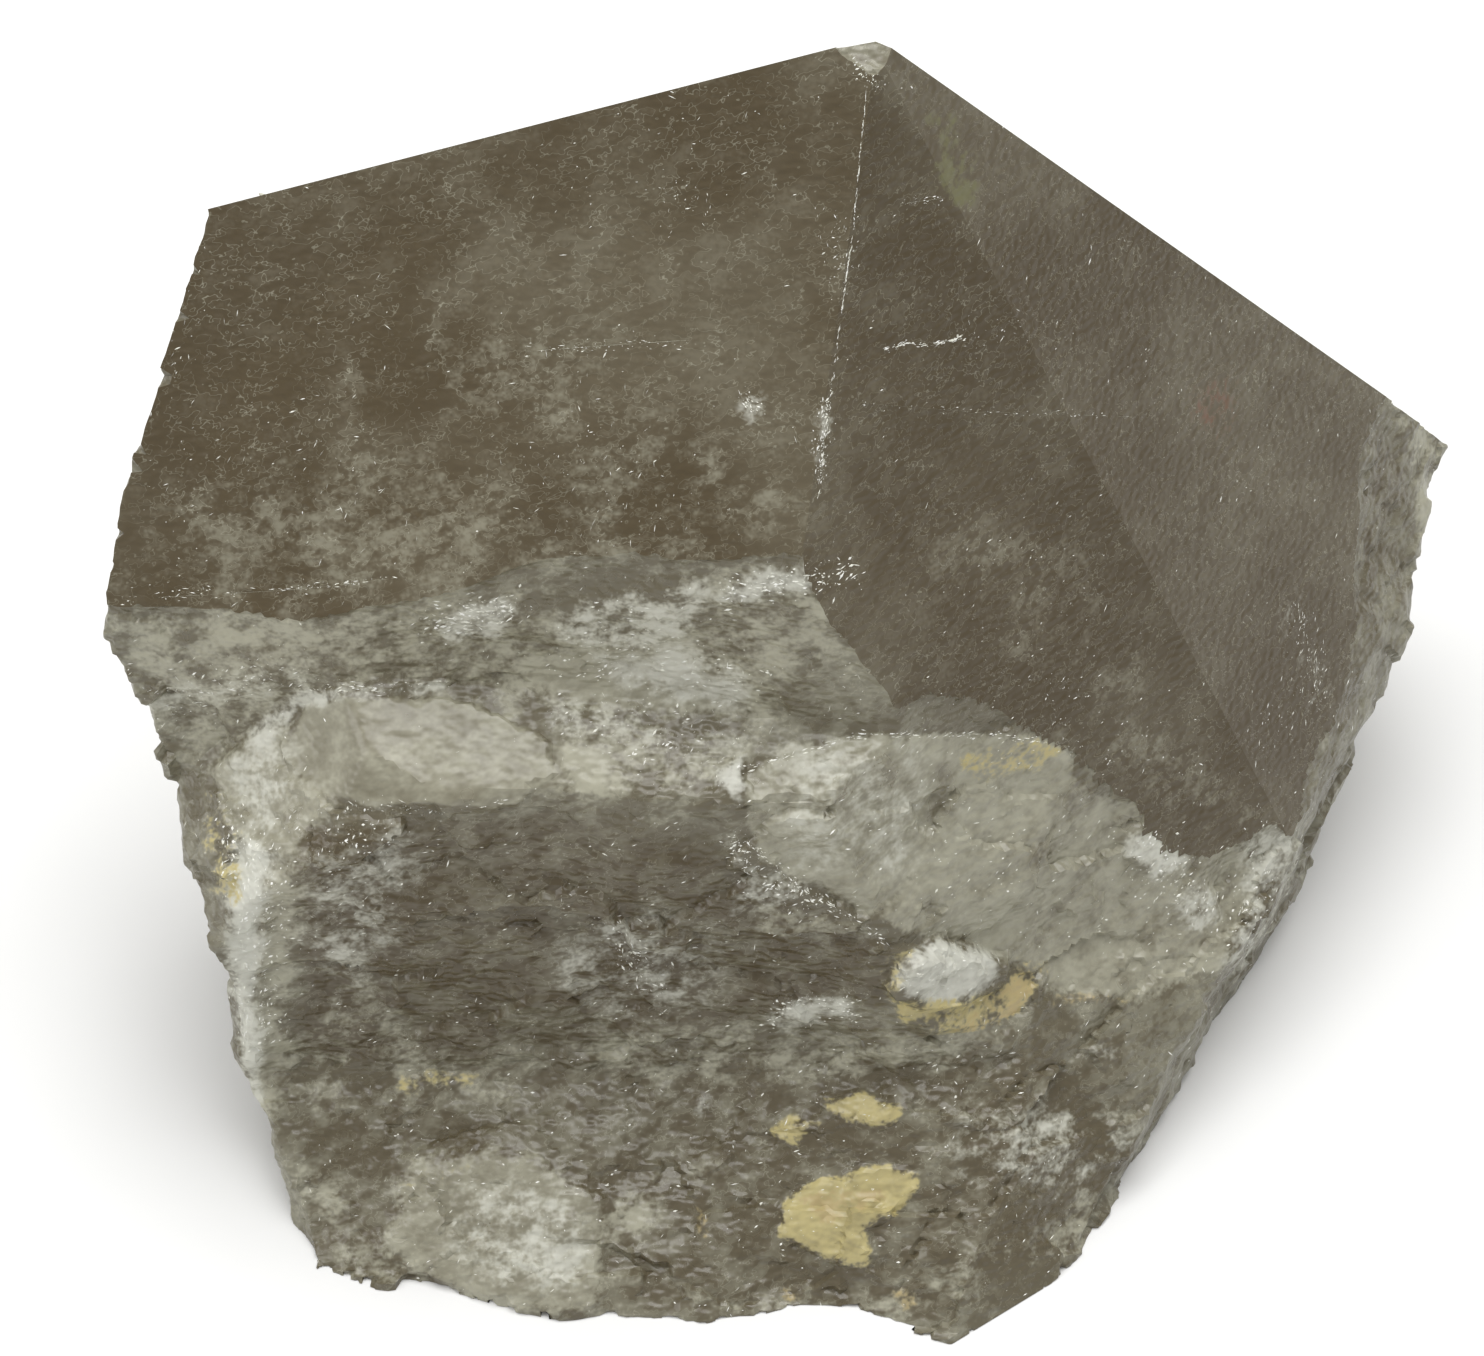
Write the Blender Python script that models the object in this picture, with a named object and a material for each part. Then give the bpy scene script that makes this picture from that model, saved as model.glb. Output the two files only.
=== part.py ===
"""Smoky quartz: a stubby crystal point, broken all round its lower end, standing on its flat base.

The crystal is a block cut by its flat growth faces. Each break is then bitten out of the block by a
leaning box whose sides are roughened. Sizes are in millimetres from a datum inside the crystal, with
X to the right, Y to the back and Z up, and the whole piece is then set down on its base.
"""
from math import cos, radians, sin

import bmesh
import bpy
from mathutils import Matrix, Vector, noise

MM = 0.001

# Driving dimensions, millimetres and degrees
BLOCK_SIZE = 190.0
BASE_HEIGHT = -38.5
BITE_DEPTH = 80.0
BITE_LENGTH = 104.0
FACET_SIZE = 2.9
COARSE_RELIEF_SCALE = 15.0
FINE_RELIEF_SCALE = 5.5
FINE_RELIEF_SHARE = 0.45
RELIEF_SEED = 4

# How strongly a broken surface is roughened, millimetres
FLAT = 0.0
FAINT_RELIEF = 0.7
LIGHT_RELIEF = 1.0
MEDIUM_RELIEF = 1.2
STRONG_RELIEF = 1.4
DEEP_RELIEF = 1.6

# How far apart in the noise the patterns of two broken surfaces lie
PATTERN_STEP = Vector((7.3, 3.1, 5.7))

# An edge runs along a direction when the cosine of the angle between them passes this
ALONG_COSINE = 0.999
UPWARD = Vector((0.0, 0.0, 1.0))
RIGHTWARD = Vector((1.0, 0.3, 0.0))

# Finish of the whole crystal
SMOKE_COLOUR = (0.205, 0.186, 0.138, 1.0)
SMOKE_ROUGHNESS = 0.38


def facing(azimuth, elevation):
    """The direction at an angle round from +X and an angle up from level."""
    level = cos(radians(elevation))
    return Vector((level * cos(radians(azimuth)), level * sin(radians(azimuth)), sin(radians(elevation))))


class Plane:
    """A plane of the crystal: the way it faces, in degrees, and one point that it passes through."""

    def __init__(self, azimuth, elevation, through):
        self.normal = facing(azimuth, elevation)
        self.point = Vector(through) * MM
        self.distance = self.normal.dot(self.point)


APEX = (7.3, 19.9, 29.4)

# Flat growth faces, the chipped tip and the flat that the crystal stands on
LARGE_FRONT_FACE = Plane(254.2, 35.7, APEX)
RIGHT_FRONT_FACE = Plane(306.8, 24.6, APEX)
RIGHT_FACE = Plane(325.5, 27.3, APEX)
BACK_RIGHT_FACE = Plane(62.3, 31.8, (8.95, 20.95, 27.8))
BACK_LEFT_FACE = Plane(103.6, 34.4, (7.2, 20.4, 29.8))
COLUMN_FLAT = Plane(126.0, 8.0, (-22.0, 29.0, 9.0))
TIP_CHIP = Plane(280.0, 62.0, (7.3, 19.9, 28.5))
LEFT_FOOT = Plane(178.0, -6.0, (-34.0, 5.0, -38.0))
BASE = Plane(0.0, -90.0, (0.0, 0.0, BASE_HEIGHT))
FLAT_CUTS = (LARGE_FRONT_FACE, RIGHT_FACE, BACK_RIGHT_FACE, BACK_LEFT_FACE,
             COLUMN_FLAT, TIP_CHIP, LEFT_FOOT, BASE)

# Broken surfaces of the front, from the large face down
UPPER_BAND = Plane(262.7, 10.0, (-17.8, 5.7, -0.4))
UPPER_SHELF = Plane(264.0, 68.0, (-19.8, 5.1, -6.0))
LEFT_SLOPE = Plane(222.0, 35.0, (-25.7, 5.6, -7.8))
DARK_WALL = Plane(268.0, 8.0, (-17.9, -1.9, -8.6))
TOE = Plane(265.0, 55.0, (-18.8, -4.9, -30.6))
FRONT_SLOPE = Plane(302.5, 20.0, (15.0, 3.5, -9.3))
TOE_RIGHT = Plane(305.0, 40.0, (22.3, -3.0, -29.2))
RIGHT_FRONT_FACE_FOOT = Plane(305.0, 40.0, (22.3, -3.0, -27.6))

# Broken surfaces of the left and right sides and the back
LEFT_SIDE = Plane(165.0, 7.6, (-33.8, 13.5, 5.2))
LEFT_OVERHANG = Plane(175.0, -25.0, (-36.8, 6.5, -8.0))
LEFT_LOWER_SIDE = Plane(182.0, -15.0, (-32.0, 0.0, -23.0))
LEFT_CRUST = Plane(215.0, 14.0, (-26.2, -1.3, -12.1))
RIGHT_RIM = Plane(330.0, 20.0, (37.2, 20.0, -18.2))
RIGHT_SIDE = Plane(331.0, -6.0, (35.4, 13.0, -36.4))
RIGHT_CORNER = Plane(322.0, 6.0, (26.0, -6.5, -38.5))
RIGHT_UNDERSIDE = Plane(0.0, -28.0, (37.2, 18.6, -32.3))
BACK = Plane(82.0, 6.0, (18.0, 38.0, -10.0))
BACK_FOOT = Plane(120.0, -14.0, (-8.0, 31.0, -24.0))


def make_material(name, colour, roughness):
    """A plain glassy finish in one colour."""
    material = bpy.data.materials.new(name)
    material.use_nodes = True
    shader = material.node_tree.nodes["Principled BSDF"]
    shader.inputs["Base Color"].default_value = colour
    shader.inputs["Roughness"].default_value = roughness
    shader.inputs["Metallic"].default_value = 0.0
    material.diffuse_color = colour
    return material


def new_object(name, mesh_builder, collection):
    """An object of the given name whose mesh is taken from a bmesh."""
    mesh = bpy.data.meshes.new(name)
    mesh_builder.to_mesh(mesh)
    mesh_builder.free()
    made = bpy.data.objects.new(name, mesh)
    collection.objects.link(made)
    return made


def make_block(collection):
    """A cube cut down by the growth faces and by the flat base."""
    shape = bmesh.new()
    bmesh.ops.create_cube(shape, size=BLOCK_SIZE * MM)
    for face in FLAT_CUTS:
        everything = shape.verts[:] + shape.edges[:] + shape.faces[:]
        cut = bmesh.ops.bisect_plane(
            shape, geom=everything, plane_co=face.point, plane_no=face.normal, clear_outer=True)
        rim = [piece for piece in cut["geom_cut"] if isinstance(piece, bmesh.types.BMEdge)]
        bmesh.ops.holes_fill(shape, edges=rim)
    bmesh.ops.recalc_face_normals(shape, faces=shape.faces)
    return new_object("quartz_crystal", shape, collection)


def relief(place, height, pattern):
    """How far the rough surface at a place is moved, in metres."""
    shift = PATTERN_STEP * pattern
    coarse = noise.noise_vector(place / (COARSE_RELIEF_SCALE * MM) + shift)
    fine = noise.noise_vector(place / (FINE_RELIEF_SCALE * MM) - shift)
    return (coarse + fine * FINE_RELIEF_SHARE) * height * MM


def divide(shape, direction):
    """Cut every edge that runs along a direction into lengths of about one facet."""
    along = []
    for edge in shape.edges:
        run = edge.verts[1].co - edge.verts[0].co
        if abs(run.normalized().dot(direction)) > ALONG_COSINE:
            along.append(edge)
    cuts = round(along[0].calc_length() / (FACET_SIZE * MM)) - 1
    bmesh.ops.subdivide_edges(shape, edges=along, cuts=cuts, use_grid_fill=True)


def turned_to(direction, towards):
    """The direction or its opposite, whichever leans towards another."""
    return direction if direction.dot(towards) > 0.0 else -direction


def make_bite(name, height, pattern, wall, floor=None):
    """A leaning box that fills the space in front of a wall and, where one is given, over a floor.

    Without a floor the box starts far below the crystal, so that only the wall cuts. With a flat
    height of relief its sides aren't divided or moved.
    """
    if floor is None:
        sideways = wall.normal.cross(UPWARD).normalized()
        floor_normal = turned_to(sideways.cross(wall.normal), UPWARD)
        floor_distance = -BITE_LENGTH / 2 * MM
        depth = BITE_LENGTH
    else:
        floor_normal = floor.normal
        floor_distance = floor.distance
        depth = BITE_DEPTH
    corner_line = turned_to(wall.normal.cross(floor_normal).normalized(), RIGHTWARD)
    up_wall = turned_to(corner_line.cross(wall.normal), floor_normal)
    along_floor = turned_to(corner_line.cross(floor_normal), wall.normal)
    planes = Matrix((wall.normal, floor_normal, corner_line))
    corner = planes.inverted() @ Vector((wall.distance, floor_distance, -BITE_LENGTH / 2 * MM))

    shape = bmesh.new()
    bmesh.ops.create_cube(shape, size=1.0)
    bmesh.ops.translate(shape, verts=shape.verts, vec=(0.5, 0.5, 0.5))
    sides = Matrix((along_floor * BITE_DEPTH * MM, up_wall * depth * MM, corner_line * BITE_LENGTH * MM))
    placing = Matrix.Translation(corner) @ sides.transposed().to_4x4()
    bmesh.ops.transform(shape, matrix=placing, verts=shape.verts)
    if height > FLAT:
        for direction in (along_floor, up_wall, corner_line):
            divide(shape, direction)
        for point in shape.verts:
            point.co += relief(point.co, height, pattern)
    bmesh.ops.triangulate(shape, faces=shape.faces)
    bmesh.ops.recalc_face_normals(shape, faces=shape.faces)
    return name, shape


def make_bites(collection):
    """Every broken surface of the crystal, as a cutter."""
    bites = (
        make_bite("bite_right_front_face", FLAT, 0, RIGHT_FRONT_FACE, RIGHT_FRONT_FACE_FOOT),
        make_bite("bite_upper_shelf", MEDIUM_RELIEF, 2, UPPER_BAND, UPPER_SHELF),
        make_bite("bite_left_slope", MEDIUM_RELIEF, 2, UPPER_BAND, LEFT_SLOPE),
        make_bite("bite_dark_wall", STRONG_RELIEF, 3, DARK_WALL, TOE),
        make_bite("bite_front_slope", LIGHT_RELIEF, 1, FRONT_SLOPE, TOE_RIGHT),
        make_bite("bite_left_lower", MEDIUM_RELIEF, 4, LEFT_LOWER_SIDE, LEFT_OVERHANG),
        make_bite("bite_left_crust", MEDIUM_RELIEF, 5, LEFT_CRUST, LEFT_OVERHANG),
        make_bite("bite_left_side", LIGHT_RELIEF, 6, LEFT_SIDE),
        make_bite("bite_right_rim", FAINT_RELIEF, 7, RIGHT_RIM),
        make_bite("bite_right_side", MEDIUM_RELIEF, 8, RIGHT_SIDE),
        make_bite("bite_right_corner", MEDIUM_RELIEF, 12, RIGHT_CORNER),
        make_bite("bite_right_underside", MEDIUM_RELIEF, 9, RIGHT_UNDERSIDE),
        make_bite("bite_back", DEEP_RELIEF, 10, BACK),
        make_bite("bite_back_foot", DEEP_RELIEF, 11, BACK_FOOT),
    )
    cutters = []
    for name, shape in bites:
        cutter = new_object(name, shape, collection)
        cutter.hide_render = True
        cutter.display_type = "WIRE"
        cutters.append(cutter)
    return cutters


def stand_on_base(crystal):
    """Set the crystal down with the middle of its outline over the origin and its base at zero."""
    shape = crystal.evaluated_get(bpy.context.evaluated_depsgraph_get())
    corners = [Vector(corner) for corner in shape.bound_box]
    lowest = Vector([min(corner[axis] for corner in corners) for axis in range(3)])
    highest = Vector([max(corner[axis] for corner in corners) for axis in range(3)])
    middle = (lowest + highest) / 2
    crystal.location = (-middle.x, -middle.y, -lowest.z)


def main():
    for leftover in list(bpy.data.objects):
        bpy.data.objects.remove(leftover, do_unlink=True)
    parts = bpy.data.collections.new("smoky_quartz")
    cutters = bpy.data.collections.new("cutters")
    bpy.context.scene.collection.children.link(parts)
    bpy.context.scene.collection.children.link(cutters)

    noise.seed_set(RELIEF_SEED)
    crystal = make_block(parts)
    crystal.data.materials.append(make_material("smoky_quartz", SMOKE_COLOUR, SMOKE_ROUGHNESS))
    for cutter in make_bites(cutters):
        cut = crystal.modifiers.new(cutter.name, "BOOLEAN")
        cut.operation = "DIFFERENCE"
        cut.solver = "EXACT"
        cut.object = cutter
        cutter.parent = crystal
    stand_on_base(crystal)


main()
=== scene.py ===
"""Smoky quartz crystal: etched growth faces above a rough break, with what is sealed inside the stone."""
from math import cos, pi, radians, sin

import bmesh
import bpy
import numpy as np
from bpy.props import FloatProperty, FloatVectorProperty, IntProperty, PointerProperty
from mathutils import Matrix, Vector, noise
from mathutils.bvhtree import BVHTree


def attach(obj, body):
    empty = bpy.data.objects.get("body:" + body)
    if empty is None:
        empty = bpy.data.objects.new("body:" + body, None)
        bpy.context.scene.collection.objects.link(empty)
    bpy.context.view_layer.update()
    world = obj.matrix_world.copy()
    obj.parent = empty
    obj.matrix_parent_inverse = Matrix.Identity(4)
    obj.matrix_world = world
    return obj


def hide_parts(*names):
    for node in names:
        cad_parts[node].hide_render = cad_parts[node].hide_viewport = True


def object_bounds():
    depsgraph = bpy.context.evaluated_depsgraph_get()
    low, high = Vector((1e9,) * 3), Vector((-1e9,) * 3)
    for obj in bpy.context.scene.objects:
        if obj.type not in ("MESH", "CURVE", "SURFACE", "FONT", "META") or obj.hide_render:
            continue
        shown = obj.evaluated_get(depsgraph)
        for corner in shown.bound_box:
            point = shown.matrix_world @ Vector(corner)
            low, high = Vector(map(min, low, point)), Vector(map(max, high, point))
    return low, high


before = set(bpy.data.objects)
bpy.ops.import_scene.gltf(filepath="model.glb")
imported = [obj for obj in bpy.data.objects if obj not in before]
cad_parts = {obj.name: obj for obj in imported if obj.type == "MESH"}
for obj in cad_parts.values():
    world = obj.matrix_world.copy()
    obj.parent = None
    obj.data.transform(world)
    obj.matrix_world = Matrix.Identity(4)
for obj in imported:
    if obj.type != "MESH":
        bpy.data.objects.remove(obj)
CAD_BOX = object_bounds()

bl_info = {
    "name": "Smoky Quartz Crystal",
    "version": (1, 0, 0),
    "blender": (4, 5, 0),
    "location": "3D View > Sidebar > Smoky Quartz",
    "description": "Builds a broken smoky quartz crystal with its veils and flecks, on a pale floor",
    "category": "Add Mesh",
}

MM = 0.001
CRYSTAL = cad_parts["quartz_crystal"]

# The camera: where it looks, how high it stands and how far off, and the picture that it takes
VIEW_TARGET = Vector((-3.709, -10.876, 38.5)) * MM
VIEW_ELEVATION = radians(50.0)
VIEW_DISTANCE = 278.5 * MM
VIEW_LENS = 120.0
SENSOR_WIDTH = 36.0
PICTURE_WIDTH = 1484
PICTURE_HEIGHT = 1356
VIEW_RIGHT = Vector((1.0, 0.0, 0.0))
VIEW_UP = Vector((0.0, sin(VIEW_ELEVATION), cos(VIEW_ELEVATION)))
VIEW_BACK = Vector((0.0, -cos(VIEW_ELEVATION), sin(VIEW_ELEVATION)))
CAMERA_PLACE = VIEW_TARGET + VIEW_BACK * VIEW_DISTANCE
PIXEL_SLOPE = SENSOR_WIDTH / PICTURE_WIDTH / VIEW_LENS
# How many pixels of the picture one millimetre takes up at the target
PIXELS_PER_MM = 17.76

# Growth faces: the angle that each faces round from +X and up from level, degrees
LARGE_FRONT_FACE = (254.2, 35.7)
RIGHT_FRONT_FACE = (306.8, 24.6)
RIGHT_FACE = (325.5, 27.3)
BACK_RIGHT_FACE = (62.3, 31.8)
BACK_LEFT_FACE = (103.6, 34.4)
COLUMN_FLAT = (126.0, 8.0)
BASE = (0.0, -90.0)
HULL_FACES = (LARGE_FRONT_FACE, RIGHT_FACE, BACK_RIGHT_FACE, BACK_LEFT_FACE, COLUMN_FLAT, BASE)
GROWTH_FACES = HULL_FACES + (RIGHT_FRONT_FACE,)
# The broken slope under the right front face, told in the same way
FACE_FOOT = (305.0, 40.0)

# How the growth faces are found and cut: how far they are first raised, how far above its foot the
# right front face is cut, how far from a plane still counts as on it, the grid that holds the marks,
# how close points are joined, how wide the cutting block and wedge are, in metres, and how sharp an edge is
SKIN_GAP = 1.5 * MM
FOOT_GAP = 0.6 * MM
PLANE_SLACK = 0.02 * MM
PLANE_TOUCH = 0.1 * MM
LEVEL_COSINE = 0.9998
FACE_GRID = 1.2 * MM
WELD = 0.002 * MM
HULL_BLANK = 0.3
WEDGE_REACH = 0.12
SHARP_ANGLE = radians(24.0)

# How the break is worked: how its patterns are stretched to the right, back and up and how wide they
# are, and how much calmer it is high up and on the polished lens
LARGE_STRETCH = (0.55, 0.8, 1.15)
SMALL_STRETCH = (0.6, 0.8, 1.2)
SWELL_WIDTH = 7.0 * MM
GRAIN_WIDTH = 1.1 * MM
MOTTLE_WIDTH = 2.4 * MM
CLOUD_WIDTH = 13.0 * MM
CLUSTER_WIDTH = 5.0 * MM
CALM_ABOVE = 24.0 * MM
CALM_FADE = 14.0 * MM
CALM_SHARE = 0.6
POLISH_CALM = 0.9

# Seeds, and the part of the noise that each pattern is drawn from
RELIEF_SEED = 11
SPLINTER_SEED = 23
FLECK_SEED = 5
LARGE_CHIPS, SMALL_CHIPS, SWELL, GRAIN, MOTTLE, CLOUDS = range(1, 7)
CLUSTERS = 8
WANDERS = (21, 22)

# How the marks of the front view are laid: what faces so far away from the camera or lies so far
# behind what it sees has none, and an outline wanders by so many millimetres
TURNED_AWAY = -0.25
SIGHT_SLACK = 3.0 * MM
WANDER_WIDTH = 2.2 * MM
WANDER = 0.35

# The splinters, veils and flecks: the step along a run, how a veil is divided, how far it stands out of
# its face, how wide its rags and folds are, how deep its folds and how much of it is gone, and where
# in the front view flecks lie
RUN_STEP = 0.02
VEIL_COLUMNS = 40
VEIL_ROWS = 6
VEIL_RISE = 0.01 * MM
VEIL_RAGS = 1.7 * MM
VEIL_FOLDS = 2.5 * MM
VEIL_FOLD_DEPTH = 0.5 * MM
VEIL_GAPS = 0.46
FLECK_CORNER = np.array((180.0, 120.0))
FLECK_REACH = np.array((1150.0, 520.0))

# How each kind of mark breaks up into the stone: how whole its middle stays, how ragged it is, and the
# strengths at which it starts and is full. The kinds are pale, milky, yellow and orange.
BREAK_UP = ((1.06, 3.4, 0.16, 0.84), (1.12, 4.0, 0.14, 1.0),
            (1.05, 4.0, 0.22, 0.72), (1.05, 4.0, 0.2, 0.8))

# The grain of the stone and of what is crushed: how streaks are stretched and tilted, in degrees, the
# scales in turns per millimetre, how deep the relief is and how wide the pale threads are
STREAK_STRETCH = (0.6, 0.8, 1.0)
STREAK_TILT = (0.0, 24.0, 0.0)
STREAK_SCALE = 1.4
FINE_SCALE = 3.4
RELIEF_STRETCH = (0.6, 0.8, 1.1)
RELIEF_SCALE = 2.6
RELIEF_DEPTH = 0.14 * MM
THREAD_WIDTH = 0.014
CRUSHED_CLOUDS = 1.3
CRUSHED_GRAIN = 5.0
FLOOR_CLOUDS = 0.02

# The stage, in metres: where each light stands and how wide it is, how far the floor reaches from its
# middle and how far it lies under the stone
TOP_LIGHT = (Vector((0.05, 0.12, 0.62)), 0.55)
SIDE_LIGHT = (Vector((-0.55, -0.15, 0.35)), 0.35)
FLOOR_REACH = 1.6
FLOOR_DROP = 0.05 * MM

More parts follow.
